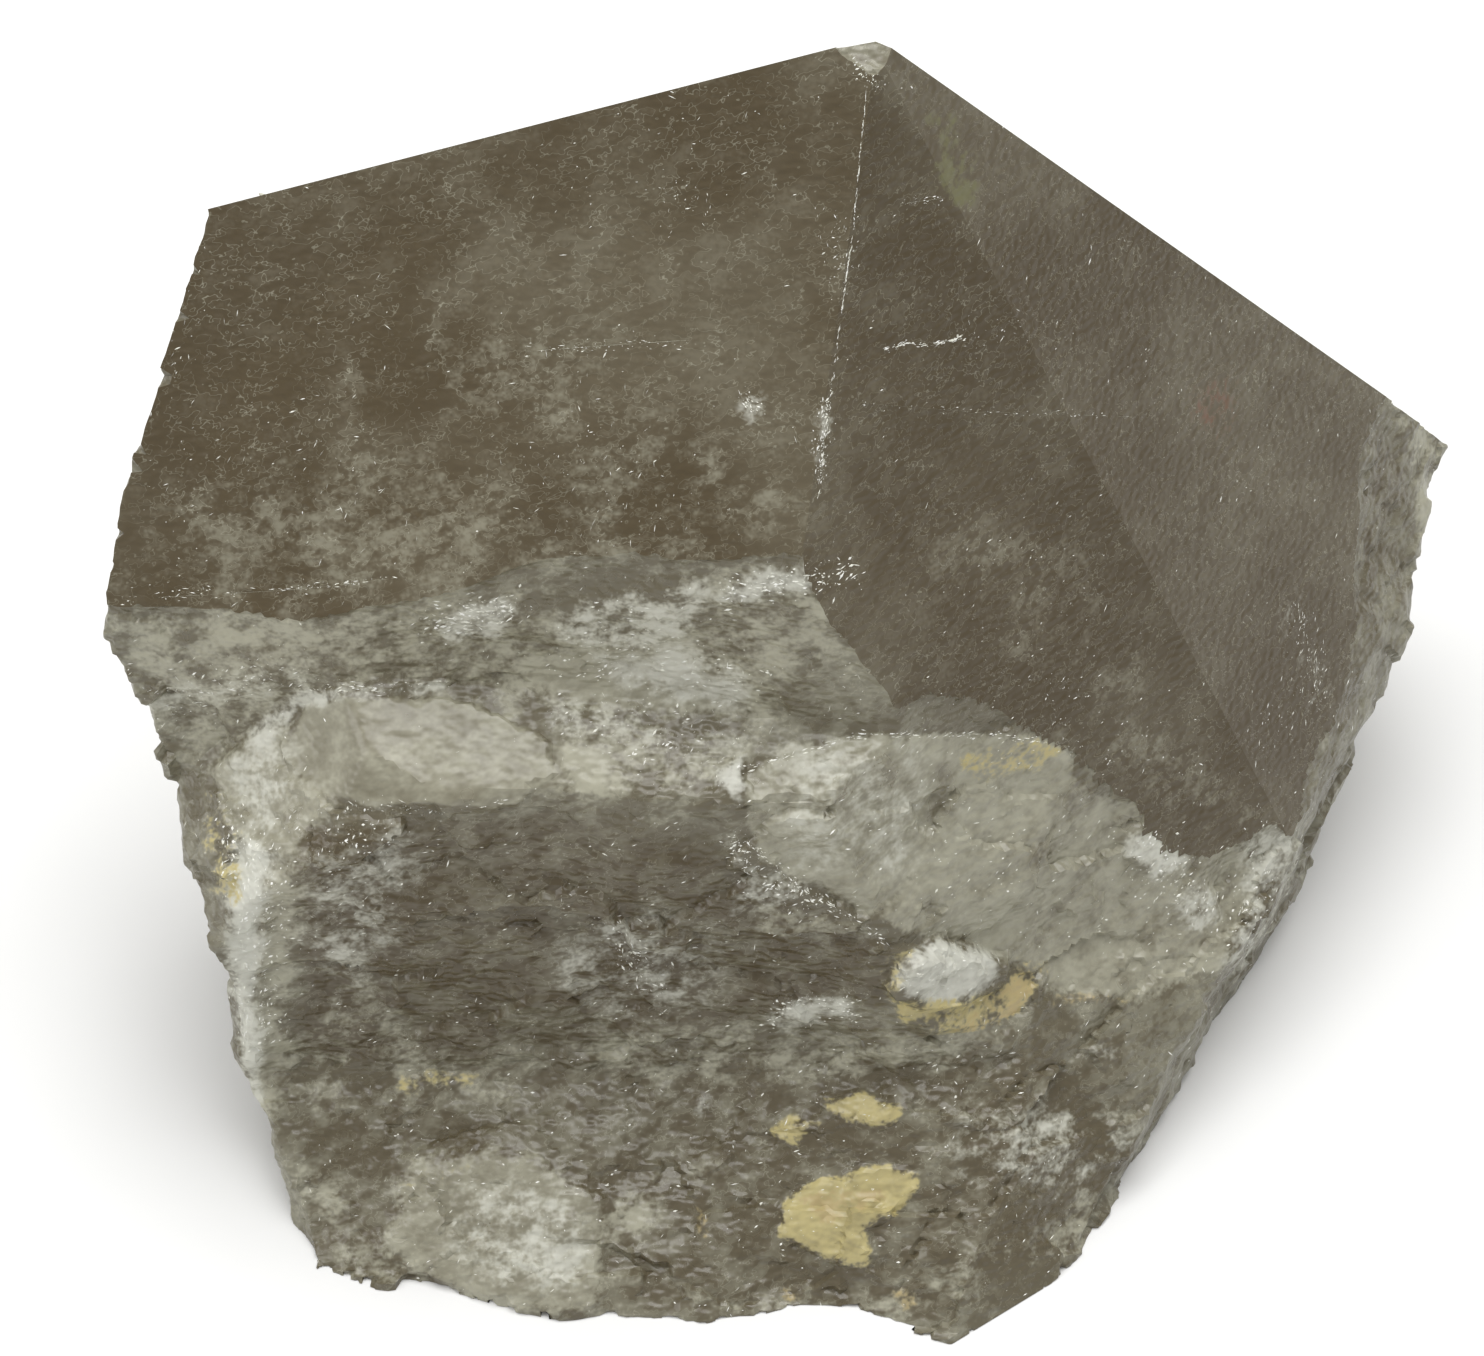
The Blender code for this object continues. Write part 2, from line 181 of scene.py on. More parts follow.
# Marks on the broken surface. Each outline is in pixels of the front view, and each mark has a kind,
# how strong it is, how far it stands up in millimetres and how soft its edge is in millimetres.
# The colour of a mark spreads wider than its raised part, and fades into the stone round it. The right
# front face is darker all over, a painted shade.
COLOUR_SPREAD = 1.6
RIGHT_FRONT_PAINTED_SHADE = 0.4
# The kinds of mark. On the break, dark marks are painted shade; on the growth faces they are the stone's
# brown tone.
MARK_KINDS = range(6)
PALE, MILK, YELLOW, ORANGE, DARK, SMOOTH = MARK_KINDS
MARKS = {
    "smooth_lens": (PALE, 1.0, 0.25, 0.14, ((285, 745), (300, 715), (335, 697), (430, 698), (500, 712),
        (545, 740), (552, 775), (520, 800), (440, 808), (370, 808), (330, 795), (300, 775))),
    "smooth_lens_polish": (SMOOTH, 1.0, 0.0, 0.35, ((285, 745), (300, 715), (335, 697), (430, 698),
        (500, 712), (560, 740), (560, 785), (520, 800), (440, 808), (370, 808), (330, 795), (300, 775))),
    "lens_rim": (MILK, 0.75, 0.2, 0.3, ((225, 765), (262, 722), (300, 690), (360, 686), (440, 680),
        (450, 690), (350, 697), (300, 712), (275, 745), (240, 775))),
    "left_block": (PALE, 0.95, 0.3, 0.3, ((212, 768), (250, 738), (290, 718), (300, 775), (345, 803),
        (310, 830), (285, 860), (240, 850), (212, 805))),
    "left_block_milk": (MILK, 0.6, 0.0, 1.0, ((222, 780), (262, 740), (292, 735), (300, 790), (296, 835),
        (262, 850), (236, 830))),
    "left_crust_cream": (YELLOW, 0.46, 0.1, 0.7, ((200, 775), (228, 790), (240, 850), (236, 915),
        (214, 880), (200, 815))),
    "left_crust": (MILK, 1.1, 0.2, 0.6, ((228, 835), (276, 845), (272, 890), (262, 930), (258, 985),
        (264, 1040), (258, 1100), (242, 1060), (232, 980), (226, 905))),
    "left_crust_edge": (PALE, 0.85, 0.0, 0.9, ((240, 850), (300, 850), (298, 930), (284, 1000),
        (296, 1080), (268, 1120), (244, 1060), (236, 960))),
    "band_whole": (PALE, 0.55, 0.0, 2.0, ((112, 600), (240, 590), (440, 600), (560, 585), (700, 565),
        (860, 560), (880, 640), (800, 700), (740, 745), (560, 700), (330, 690), (230, 745), (190, 770),
        (130, 690))),
    "band_left_light": (PALE, 0.62, 0.0, 1.0, ((120, 640), (165, 618), (235, 596), (245, 608), (205, 645),
        (150, 668))),
    "band_left_scratches": (MILK, 0.5, 0.0, 1.0, ((140, 700), (180, 680), (270, 668), (320, 668),
        (300, 690), (235, 705), (165, 716))),
    "band_glint_left": (MILK, 0.85, 0.15, 0.35, ((432, 628), (465, 605), (505, 598), (520, 612),
        (498, 636), (450, 642))),
    "band_fold": (MILK, 0.55, 0.25, 0.5, ((552, 640), (560, 602), (590, 592), (640, 582), (705, 572),
        (718, 598), (690, 640), (640, 655), (600, 650))),
    "band_pale_heart": (PALE, 1.0, 0.0, 0.8, ((548, 655), (600, 636), (700, 650), (748, 680), (742, 712),
        (655, 716), (560, 704), (520, 690))),
    "band_blue_heart": (MILK, 0.95, 0.0, 0.9, ((600, 655), (690, 650), (745, 680), (740, 705), (690, 700),
        (620, 690))),
    "band_glint_right": (MILK, 0.85, 0.25, 0.35, ((716, 606), (728, 585), (765, 570), (820, 558),
        (862, 572), (858, 592), (800, 592), (752, 604))),
    "edge_end": (PALE, 0.8, 0.1, 0.4, ((815, 548), (840, 522), (858, 500), (868, 515), (864, 545),
        (874, 572), (842, 562))),
    "shelf_right": (PALE, 0.7, 0.0, 1.2, ((545, 745), (600, 716), (700, 728), (745, 755), (720, 776),
        (620, 792), (560, 792))),
    "shelf_grain": (MILK, 0.45, 0.0, 1.0, ((545, 690), (700, 715), (745, 745), (700, 760), (600, 745),
        (530, 725))),
    "cream_flake": (MILK, 0.95, 0.3, 0.25, ((712, 765), (742, 758), (754, 790), (738, 806), (716, 790))),
    "front_slope_pale": (PALE, 0.86, 0.0, 0.25, ((742, 772), (790, 748), (850, 735), (1000, 735),
        (1052, 738), (1082, 780), (1190, 826), (1250, 850), (1262, 880), (1225, 962), (1130, 1000),
        (1042, 988), (960, 940), (905, 935), (862, 912), (800, 880), (752, 852))),
    "slope_right_shade": (DARK, 0.55, 0.0, 1.6, ((1060, 790), (1200, 830), (1262, 880), (1225, 962),
        (1130, 1000), (1042, 988), (1040, 860))),
    "slope_milk": (MILK, 0.45, 0.0, 1.6, ((742, 772), (800, 748), (900, 740), (960, 800), (900, 880),
        (800, 870))),
    "slope_oval": (MILK, 0.6, 0.15, 0.4, ((800, 760), (825, 746), (880, 752), (902, 772), (890, 796),
        (850, 800), (810, 786))),
    "slope_cream": (YELLOW, 0.45, 0.12, 0.35, ((955, 766), (985, 748), (1040, 738), (1062, 750),
        (1040, 772), (1010, 780), (975, 778))),
    "blob_upper": (MILK, 0.9, 0.45, 0.35, ((1126, 836), (1160, 820), (1192, 840), (1188, 872),
        (1150, 878), (1128, 858))),
    "blob_lower": (MILK, 0.75, 0.35, 0.35, ((1172, 905), (1190, 884), (1218, 890), (1224, 915),
        (1196, 934), (1176, 926))),
    "stained_flake": (MILK, 1.0, 1.1, 0.25, ((900, 958), (930, 938), (970, 945), (1002, 960), (998, 985),
        (952, 1006), (905, 1000), (892, 978))),
    "flake_stain": (YELLOW, 0.62, 0.4, 0.4, ((888, 975), (905, 998), (955, 1004), (1000, 985),
        (1015, 962), (1048, 968), (1035, 1000), (985, 1026), (940, 1034), (900, 1022))),
    "flake_rust": (ORANGE, 0.62, 0.0, 0.4, ((985, 1000), (1000, 985), (1018, 964), (1048, 968),
        (1032, 1000), (990, 1024), (960, 1030))),
    "flake_stain_left": (YELLOW, 0.55, 0.0, 0.5, ((892, 950), (912, 945), (910, 975), (905, 1010),
        (890, 1000), (884, 975))),
    "wavy_edge": (ORANGE, 0.42, 0.2, 0.3, ((1040, 998), (1090, 992), (1136, 1000), (1130, 1008),
        (1085, 1002), (1042, 1010))),
    "wall_shadow": (DARK, 0.95, 0.0, 0.5, ((300, 830), (560, 818), (700, 850), (752, 880), (890, 950),
        (885, 1000), (790, 1010), (650, 1030), (430, 1060), (300, 1060), (300, 960))),
    "wall_haze_left": (MILK, 0.42, 0.0, 1.6, ((300, 850), (400, 800), (430, 860), (400, 960), (330, 1000),
        (296, 940))),
    "wall_haze_low": (MILK, 0.42, 0.0, 1.6, ((560, 950), (640, 905), (720, 950), (700, 1010), (620, 1020),
        (560, 1000))),
    "wall_foot_haze": (PALE, 0.55, 0.0, 1.4, ((560, 1040), (700, 1020), (860, 1040), (1000, 1030),
        (960, 1075), (800, 1080), (640, 1085))),
    "wall_wisp": (MILK, 0.62, 0.1, 0.7, ((596, 925), (625, 915), (668, 965), (650, 990), (618, 962))),
    "wall_glints": (MILK, 0.8, 0.1, 0.4, ((765, 1012), (800, 996), (850, 1003), (858, 1022), (800, 1028),
        (770, 1024))),
    "wall_edge_light": (MILK, 0.55, 0.1, 0.6, ((728, 842), (762, 872), (815, 882), (800, 902), (765, 905),
        (722, 925), (740, 885))),
    "wall_edge_wisp": (PALE, 0.55, 0.0, 0.8, ((745, 900), (800, 905), (870, 935), (880, 950), (820, 940),
        (760, 930))),
    "under_wall_pale": (PALE, 0.35, 0.0, 1.5, ((300, 960), (380, 975), (430, 1040), (600, 1045),
        (640, 1010), (700, 1040), (500, 1100), (300, 1120))),
    "olive_fleck": (YELLOW, 0.45, 0.1, 0.4, ((392, 1076), (440, 1070), (482, 1078), (450, 1092),
        (402, 1090))),
    "toe_glint": (MILK, 0.7, 0.1, 0.3, ((690, 1100), (705, 1094), (712, 1108), (698, 1116))),
    "right_strokes": (MILK, 0.7, 0.1, 0.3, ((1088, 1050), (1120, 1038), (1145, 1040), (1138, 1052),
        (1100, 1060))),
    "yellow_flake_upper": (YELLOW, 0.8, 0.3, 0.3, ((822, 1102), (862, 1094), (900, 1108), (892, 1126),
        (848, 1122), (830, 1112))),
    "yellow_flake_left": (YELLOW, 0.7, 0.25, 0.3, ((770, 1132), (795, 1116), (818, 1124), (800, 1144),
        (778, 1142))),
    "yellow_patch": (YELLOW, 0.9, 0.35, 0.3, ((785, 1205), (810, 1186), (845, 1180), (860, 1168),
        (905, 1166), (922, 1190), (890, 1212), (862, 1232), (866, 1272), (835, 1262), (780, 1236))),
    "yellow_patch_rust": (ORANGE, 0.7, 0.0, 0.6, ((805, 1200), (850, 1192), (880, 1190), (860, 1215),
        (825, 1225))),
    "toe_shade": (DARK, 0.6, 0.0, 1.5, ((290, 1080), (560, 1060), (900, 1060), (1150, 1020), (1150, 1160),
        (1080, 1260), (900, 1330), (600, 1320), (340, 1280), (300, 1180))),
    "toe_pale": (PALE, 0.95, 0.3, 0.5, ((392, 1190), (420, 1155), (460, 1150), (525, 1152), (565, 1182),
        (602, 1196), (606, 1240), (598, 1312), (500, 1306), (440, 1280), (385, 1240), (400, 1215))),
    "toe_milk": (MILK, 0.55, 0.0, 1.0, ((440, 1190), (520, 1180), (580, 1200), (590, 1250), (570, 1300),
        (500, 1290), (450, 1250))),
    "toe_olive": (YELLOW, 0.35, 0.0, 0.6, ((398, 1180), (440, 1160), (470, 1165), (440, 1190),
        (405, 1196))),
    "toe_middle": (PALE, 0.55, 0.1, 0.6, ((602, 1200), (655, 1180), (672, 1190), (650, 1225),
        (612, 1240))),
    "toe_upper": (PALE, 0.4, 0.1, 0.6, ((655, 1180), (700, 1155), (735, 1150), (728, 1172), (690, 1190))),
    "toe_corner_left": (PALE, 0.5, 0.0, 0.8, ((296, 1160), (340, 1170), (352, 1215), (330, 1240),
        (312, 1215), (296, 1195))),
    "toe_low_left": (PALE, 0.6, 0.0, 0.9, ((330, 1240), (380, 1235), (440, 1285), (520, 1312),
        (430, 1300), (350, 1275))),
    "toe_blue": (MILK, 0.4, 0.0, 1.2, ((955, 1120), (1050, 1100), (1150, 1120), (1150, 1180),
        (1050, 1200), (960, 1180))),
    "toe_front_light": (PALE, 0.5, 0.0, 1.0, ((600, 1270), (700, 1290), (860, 1300), (1000, 1240),
        (1100, 1180), (1095, 1240), (960, 1290), (880, 1325), (700, 1312))),
    "right_foot_milk": (MILK, 0.62, 0.1, 0.6, ((1235, 850), (1290, 820), (1300, 870), (1262, 940),
        (1236, 990), (1222, 960), (1245, 900))),
    "toe_right_light": (PALE, 0.35, 0.0, 1.2, ((960, 1090), (1060, 1110), (1140, 1100), (1150, 1150),
        (1050, 1180), (960, 1150))),
    "rust_fleck_a": (ORANGE, 0.6, 0.0, 0.2, ((690, 1205), (704, 1200), (708, 1236), (696, 1238))),
    "rust_fleck_b": (ORANGE, 0.6, 0.0, 0.2, ((784, 1282), (796, 1280), (798, 1300), (786, 1302))),
    "rust_fleck_c": (ORANGE, 0.6, 0.0, 0.2, ((894, 1290), (906, 1286), (914, 1306), (902, 1312))),
    "right_corner_pale": (PALE, 0.75, 0.0, 0.5, ((1392, 402), (1436, 432), (1442, 520), (1440, 540),
        (1420, 560), (1412, 520), (1420, 470))),
    # Painted shade along the right rim, where the break turns away from the light
    "right_rim_shade_band": (DARK, 1.0, -0.2, 1.0, ((1366, 392), (1395, 430), (1402, 500), (1378, 560),
        (1356, 620), (1345, 700), (1322, 720), (1335, 640), (1348, 560), (1370, 500))),
}

# Marks on the growth faces, told in the same way. None of them stands up.
FACE_MARKS = {
    "left_brown": (DARK, 1.0, 0.0, 4.0, ((190, 225), (430, 150), (520, 230), (440, 330), (330, 430),
        (220, 560), (110, 560), (150, 400))),
    "upper_edge_brown": (DARK, 0.7, 0.0, 2.0, ((430, 150), (840, 55), (800, 110), (640, 170),
        (480, 230))),
    "low_middle_haze": (PALE, 0.42, 0.0, 2.5, ((560, 430), (700, 420), (790, 470), (760, 560), (620, 580),
        (540, 520))),
    "right_low_haze": (PALE, 0.3, 0.0, 3.0, ((900, 520), (1080, 520), (1160, 650), (1180, 760),
        (1060, 730), (940, 640))),
    "right_middle_brown": (DARK, 0.6, 0.0, 3.0, ((1130, 260), (1290, 380), (1340, 500), (1300, 620),
        (1200, 560), (1100, 380))),
    "lower_left_haze": (PALE, 0.5, 0.0, 2.5, ((120, 590), (150, 520), (300, 450), (430, 470), (560, 540),
        (560, 600), (330, 600))),
    "middle_haze": (PALE, 0.3, 0.0, 2.5, ((430, 300), (620, 330), (660, 420), (560, 480), (450, 420),
        (300, 400))),
    "lower_band_haze": (PALE, 0.42, 0.0, 1.6, ((560, 600), (640, 560), (760, 540), (820, 510), (840, 480),
        (760, 470), (650, 520), (560, 560))),
    "edge_bruise": (MILK, 0.8, 0.0, 0.3, ((828, 396), (833, 402), (830, 440), (828, 466), (818, 472),
        (815, 455), (821, 425))),
    "front_nick": (MILK, 0.8, 0.0, 0.2, ((738, 390), (748, 393), (762, 412), (754, 415), (742, 402))),
    "right_strokes": (MILK, 0.42, 0.0, 1.0, ((1286, 598), (1304, 605), (1322, 650), (1326, 705),
        (1308, 705), (1298, 660))),
    "right_foot_haze": (PALE, 0.5, 0.0, 1.4, ((1090, 705), (1150, 700), (1180, 760), (1250, 800),
        (1262, 845), (1200, 840), (1120, 760))),
    "notch_olive": (YELLOW, 0.75, 0.0, 0.7, ((925, 110), (948, 118), (968, 160), (966, 196), (950, 205),
        (938, 165))),
    "rust_haze": (ORANGE, 0.55, 0.0, 0.8, ((1198, 385), (1225, 380), (1238, 425), (1215, 440),
        (1200, 415))),
}

# Healed cracks that a veil and a run of splinters both follow, by pixels of the front view
THIN_CRACK = ((884, 350), (905, 343), (930, 346), (962, 337))
CROSS_LINE = ((862, 403), (960, 411), (1060, 414), (1132, 417))
FRONT_LINE = ((520, 352), (600, 346), (690, 340))
HIGH_LINE = ((900, 204), (945, 198))

# Runs of tiny splinters, by pixels of the front view: how far they stray in millimetres, how many there
# are, the longest one in millimetres, how they lean in degrees, or None where they follow the run, and
# the widest one in millimetres
SPLINTER_RUNS = {
    # Painted highlight: white splinters along the edge between the large and right front faces
    "painted_edge_highlight": (((866, 92), (853, 230), (837, 345)), 0.02, 110, 0.8, None, 0.07),
    "painted_edge_highlight_low": (((837, 345), (822, 470), (818, 500)), 0.04, 60, 0.5, None, 0.07),
    "edge_bruise": (((827, 400), (820, 472)), 0.22, 130, 0.4, 78, 0.14),
    "edge_milk": (((842, 220), (838, 280)), 0.7, 60, 0.3, 60, 0.08),
    "front_nick": (((742, 392), (757, 412)), 0.18, 36, 0.4, -55, 0.12),
    "thin_crack": (THIN_CRACK, 0.07, 90, 0.7, None, 0.1),
    "thin_crack_tail": (((960, 338), (1030, 322)), 0.5, 24, 0.5, 15, 0.07),
    "cross_line": (CROSS_LINE, 0.12, 60, 0.35, None, 0.07),
    "front_line": (FRONT_LINE, 0.2, 56, 0.45, None, 0.07),
    "left_line": (((250, 592), (340, 584), (398, 578)), 0.08, 60, 0.45, None, 0.07),
    "left_line_faint": (((118, 600), (180, 592), (250, 592)), 0.3, 40, 0.5, None, 0.07),
    "high_line": (HIGH_LINE, 0.15, 26, 0.35, None, 0.07),
    "right_strokes": (((1294, 605), (1320, 705)), 0.5, 110, 0.5, 76, 0.07),
    "right_strokes_low": (((1278, 700), (1262, 800)), 0.8, 40, 0.5, 76, 0.07),
    "upper_flecks": (((676, 190), (690, 215)), 0.7, 40, 0.3, 70, 0.07),
    "top_dots": (((560, 160), (700, 140), (800, 130)), 2.5, 60, 0.22, 30, 0.07),
    "left_scratches": (((300, 400), (330, 560)), 2.6, 80, 0.5, 62, 0.07),
    "middle_scratches": (((560, 420), (640, 520)), 2.6, 110, 0.5, 58, 0.07),
    "far_left_scratches": (((170, 300), (200, 520)), 1.6, 70, 0.45, 50, 0.07),
    "right_dots": (((980, 560), (1120, 640)), 3.2, 90, 0.3, 24, 0.07),
    "low_right_dots": (((950, 690), (1080, 700), (1160, 780)), 1.8, 90, 0.35, 24, 0.1),
    "far_right_dots": (((1190, 320), (1290, 470)), 3.0, 50, 0.25, 70, 0.07),
    "band_glint_left": (((428, 628), (515, 604)), 0.55, 150, 0.6, 14, 0.2),
    "band_scratches": (((140, 705), (300, 670)), 0.8, 150, 0.55, 30, 0.12),
    "band_glint_right": (((726, 592), (860, 572)), 0.5, 150, 0.6, 14, 0.2),
    "band_middle": (((560, 640), (740, 690)), 1.4, 200, 0.5, 30, 0.18),
    "lens_edge": (((300, 690), (445, 684)), 0.2, 70, 0.5, None, 0.12),
    "block_grain": (((240, 830), (280, 900), (262, 1040)), 0.8, 220, 0.45, 60, 0.22),
    "wall_corner": (((320, 830), (380, 880)), 1.4, 120, 0.4, 40, 0.2),
    "wall_wisp": (((612, 935), (655, 985)), 0.5, 90, 0.5, -50, 0.2),
    "wall_glints": (((765, 1020), (800, 998), (856, 1016)), 0.35, 90, 0.45, 10, 0.22),
    "wall_edge": (((728, 835), (760, 885), (812, 905)), 0.5, 140, 0.5, 30, 0.18),
    "slope_dots": (((900, 820), (1120, 900)), 3.0, 160, 0.35, 30, 0.16),
    "blob_grain": (((1140, 850), (1210, 910)), 0.9, 160, 0.45, 40, 0.22),
    "right_foot": (((1270, 850), (1240, 960)), 0.7, 120, 0.45, 50, 0.18),
    "toe_dots": (((380, 1060), (700, 1090), (1040, 1060)), 2.4, 200, 0.35, 20, 0.14),
    "toe_low_dots": (((420, 1200), (700, 1230), (1060, 1190)), 3.2, 220, 0.35, 20, 0.14),
    "tip_grain": (((856, 62), (876, 86)), 0.25, 60, 0.3, 40, 0.16),
    "flake_grain": (((905, 985), (990, 950)), 0.5, 70, 0.4, 20, 0.14),
    "wall_sparkles": (((330, 930), (560, 900), (840, 960)), 3.0, 170, 0.4, 30, 0.12),
    "band_low_sparkles": (((560, 700), (740, 770)), 1.2, 130, 0.45, 25, 0.14),
    "slope_upper_edge": (((745, 770), (860, 735), (1000, 735), (1050, 742)), 0.12, 120, 0.6, None, 0.12),
    "slope_left_edge": (((745, 840), (800, 885), (890, 945)), 0.15, 110, 0.5, None, 0.14),
    "lens_low_edge": (((330, 806), (440, 812), (545, 795)), 0.1, 50, 0.5, None, 0.08),
    "crust_sparkles": (((215, 800), (245, 900), (250, 1050)), 0.6, 130, 0.4, 70, 0.22),
}

# Healed cracks that reach a growth face: the pixels that each follows, how deep it goes in millimetres
# and how it leans from straight down, in degrees
VEILS = {
    "thin_crack": (THIN_CRACK, 3.0, 35.0),
    "cross_line": (CROSS_LINE, 4.5, -30.0),
    "front_line": (FRONT_LINE, 4.0, 40.0),
    "left_line": (((150, 598), (290, 590), (398, 578)), 3.5, 25.0),
    "right_line": (((1298, 610), (1312, 660), (1320, 705)), 3.0, -20.0),
    "high_line": (HIGH_LINE, 2.0, 30.0),
}


def facing(azimuth, elevation):
    """The direction at an angle round from +X and an angle up from level, both in degrees."""
    level = cos(radians(elevation))
    return Vector((level * cos(radians(azimuth)), level * sin(radians(azimuth)),
                   sin(radians(elevation))))


def sight_line(across, down):
    """The direction in which the camera looks through a pixel of the front view."""
    right = (across - PICTURE_WIDTH / 2) * PIXEL_SLOPE
    up = (PICTURE_HEIGHT / 2 - down) * PIXEL_SLOPE
    return (VIEW_RIGHT * right + VIEW_UP * up - VIEW_BACK).normalized()


def tree_of(mesh):
    """A search tree of a mesh, for what a line of sight meets."""
    return BVHTree.FromPolygons([point.co for point in mesh.vertices],
                                [face.vertices for face in mesh.polygons])


def mesh_from(shape, name):
    """The mesh of a finished shape."""
    mesh = bpy.data.meshes.new(name)
    shape.to_mesh(mesh)
    shape.free()
    return mesh


def added(context, name, data):
    """A new object in the scene."""
    thing = bpy.data.objects.new(name, data)
    context.scene.collection.objects.link(thing)
    return thing


def in_front_view(places):
    """The pixel of the front view in which each of an array of places is seen."""
    seen = places - np.array(CAMERA_PLACE)
    depth = -(seen @ np.array(VIEW_BACK))
    across = PICTURE_WIDTH / 2 + seen @ np.array(VIEW_RIGHT) / depth / PIXEL_SLOPE
    down = PICTURE_HEIGHT / 2 - seen @ np.array(VIEW_UP) / depth / PIXEL_SLOPE
    return np.stack((across, down), axis=1)


def inside_outline(pixels, outline, softness):
    """How far each pixel is inside an outline: 1 inside, 0 outside, with a soft step between."""
    corners = np.array(outline, dtype=float)
    nearest = np.full(len(pixels), 1e9)
    inside = np.zeros(len(pixels), dtype=bool)
    for start, end in zip(corners, np.roll(corners, -1, axis=0)):
        run = end - start
        share = np.clip((pixels - start) @ run / (run @ run), 0.0, 1.0)
        gap = np.linalg.norm(pixels - start - share[:, None] * run, axis=1)
        nearest = np.minimum(nearest, gap)
        crosses = (start[1] > pixels[:, 1]) != (end[1] > pixels[:, 1])
        rise = end[1] - start[1] if end[1] != start[1] else 1.0
        meets = start[0] + (pixels[:, 1] - start[1]) * run[0] / rise
        inside ^= crosses & (pixels[:, 0] < meets)
    signed = np.where(inside, nearest, -nearest) / (softness * PIXELS_PER_MM)
    step = np.clip(signed * 0.5 + 0.5, 0.0, 1.0)
    return step * step * (3.0 - 2.0 * step)


class Value:
    """A number of a material. Sums on it are written as usual and add Math nodes."""

    def __init__(self, network, socket):
        self.network = network
        self.socket = socket

    def _math(self, operation, first, second):
        node = self.network.node("ShaderNodeMath", {"operation": operation}, {0: first, 1: second})
        return Value(self.network, node.outputs[0])

    def __add__(self, other):
        return self._math("ADD", self, other)

    def __radd__(self, other):
        return self._math("ADD", other, self)

    def __sub__(self, other):
        return self._math("SUBTRACT", self, other)

    def __rsub__(self, other):
        return self._math("SUBTRACT", other, self)

    def __mul__(self, other):
        return self._math("MULTIPLY", self, other)

    def __abs__(self):
        return self._math("ABSOLUTE", self, 0.0)


class Network:
    """The nodes of one material."""

    def __init__(self, name):
        self.material = bpy.data.materials.new(name)
        self.material.use_nodes = True
        self.tree = self.material.node_tree
        self.tree.nodes.clear()
        self.output = self.node("ShaderNodeOutputMaterial")
        place = self.node("ShaderNodeTexCoord")
        millimetres = self.node("ShaderNodeVectorMath", {"operation": "SCALE"},
                                {0: place.outputs["Object"], "Scale": 1000.0})
        self.place = millimetres.outputs[0]

    def node(self, kind, settings=None, sockets=None):
        """A node of a kind, with its settings made first and then its sockets' values or links."""
        made = self.tree.nodes.new(kind)
        for name, setting in (settings or {}).items():
            setattr(made, name, setting)
        for name, value in (sockets or {}).items():
            socket = made.inputs[name]
            if isinstance(value, Value):
                value = value.socket
            if isinstance(value, bpy.types.NodeSocket):
                self.tree.links.new(value, socket)
            else:
                socket.default_value = value
        return made

    def stored(self, name):
        """The three numbers that a mesh stores under a name."""
        layer = self.node("ShaderNodeAttribute", {"attribute_name": name, "attribute_type": "GEOMETRY"})
        parts = self.node("ShaderNodeSeparateColor", {}, {0: layer.outputs["Color"]})
        return [Value(self, parts.outputs[channel]) for channel in range(3)]

    def stretched(self, along, across, up, turn=(0.0, 0.0, 0.0)):
        """The place on the stone, turned and then multiplied on each axis."""
        turned = self.node("ShaderNodeVectorRotate", {"rotation_type": "EULER_XYZ"},
                           {"Vector": self.place, "Rotation": [radians(angle) for angle in turn]})
        scaled = self.node("ShaderNodeVectorMath", {"operation": "MULTIPLY"},
                           {0: turned.outputs[0], 1: (along, across, up)})
        return scaled.outputs[0]

    def grain(self, place, scale, detail=2.0, roughness=0.5):
        """A cloudy noise from 0 to 1, with its pattern's scale in turns per millimetre."""
        cloud = self.node("ShaderNodeTexNoise", {"noise_dimensions": "3D"}, {
            "Vector": place, "Scale": scale, "Detail": detail, "Roughness": roughness})
        return Value(self, cloud.outputs["Fac"])

    def step(self, value, low, high):
        """0 below one number, 1 above another and a smooth rise between them."""
        rise = self.node("ShaderNodeMapRange", {"interpolation_type": "SMOOTHSTEP"},
                         {"Value": value, "From Min": low, "From Max": high})
        return Value(self, rise.outputs["Result"])

    def colour(self, factor, first, second):
        """Two colours mixed by a number."""
        mixed = self.node("ShaderNodeMix", {"data_type": "RGBA", "clamp_factor": True},
                          {0: factor, 6: first, 7: second})
        return mixed.outputs[2]

    def bump(self, height, strength, distance):
        """A surface direction that follows a height."""
        sockets = {"Height": height, "Strength": strength, "Distance": distance}
        return self.node("ShaderNodeBump", {}, sockets).outputs[0]

    def finished(self, surface, inside=None):
        """The material, once its surface and what fills it are linked."""
        self.tree.links.new(surface.outputs[0], self.output.inputs["Surface"])
        if inside:
            self.tree.links.new(inside.outputs[0], self.output.inputs["Volume"])
        return self.material


def shade(red, green, blue):
    """A colour with full cover."""
    return (red, green, blue, 1.0)


def plane_facing(shape, angles):
    """The plane of the widest face that looks one way: its direction, its distance and that face."""
    direction = facing(*angles)
    level = [face for face in shape.faces if face.normal.dot(direction) > LEVEL_COSINE]
    widest = max(level, key=lambda face: face.calc_area())
    return direction, direction.dot(widest.calc_center_median()), widest


def growth_planes(shape):
    """For each growth face, its direction, its distance from the origin and its joined polygons."""
    planes = []
    for angles in GROWTH_FACES:
        direction, distance, widest = plane_facing(shape, angles)
        members = {widest}
        waiting = [widest]
        while waiting:
            for edge in waiting.pop().edges:
                for face in edge.link_faces:
                    level = all(
                        abs(direction.dot(corner.co) - distance) < PLANE_SLACK for corner in face.verts)
                    if level and face not in members and face.normal.dot(direction) > 0.5:
                        members.add(face)
                        waiting.append(face)
        planes.append((direction, distance, members))
    return planes


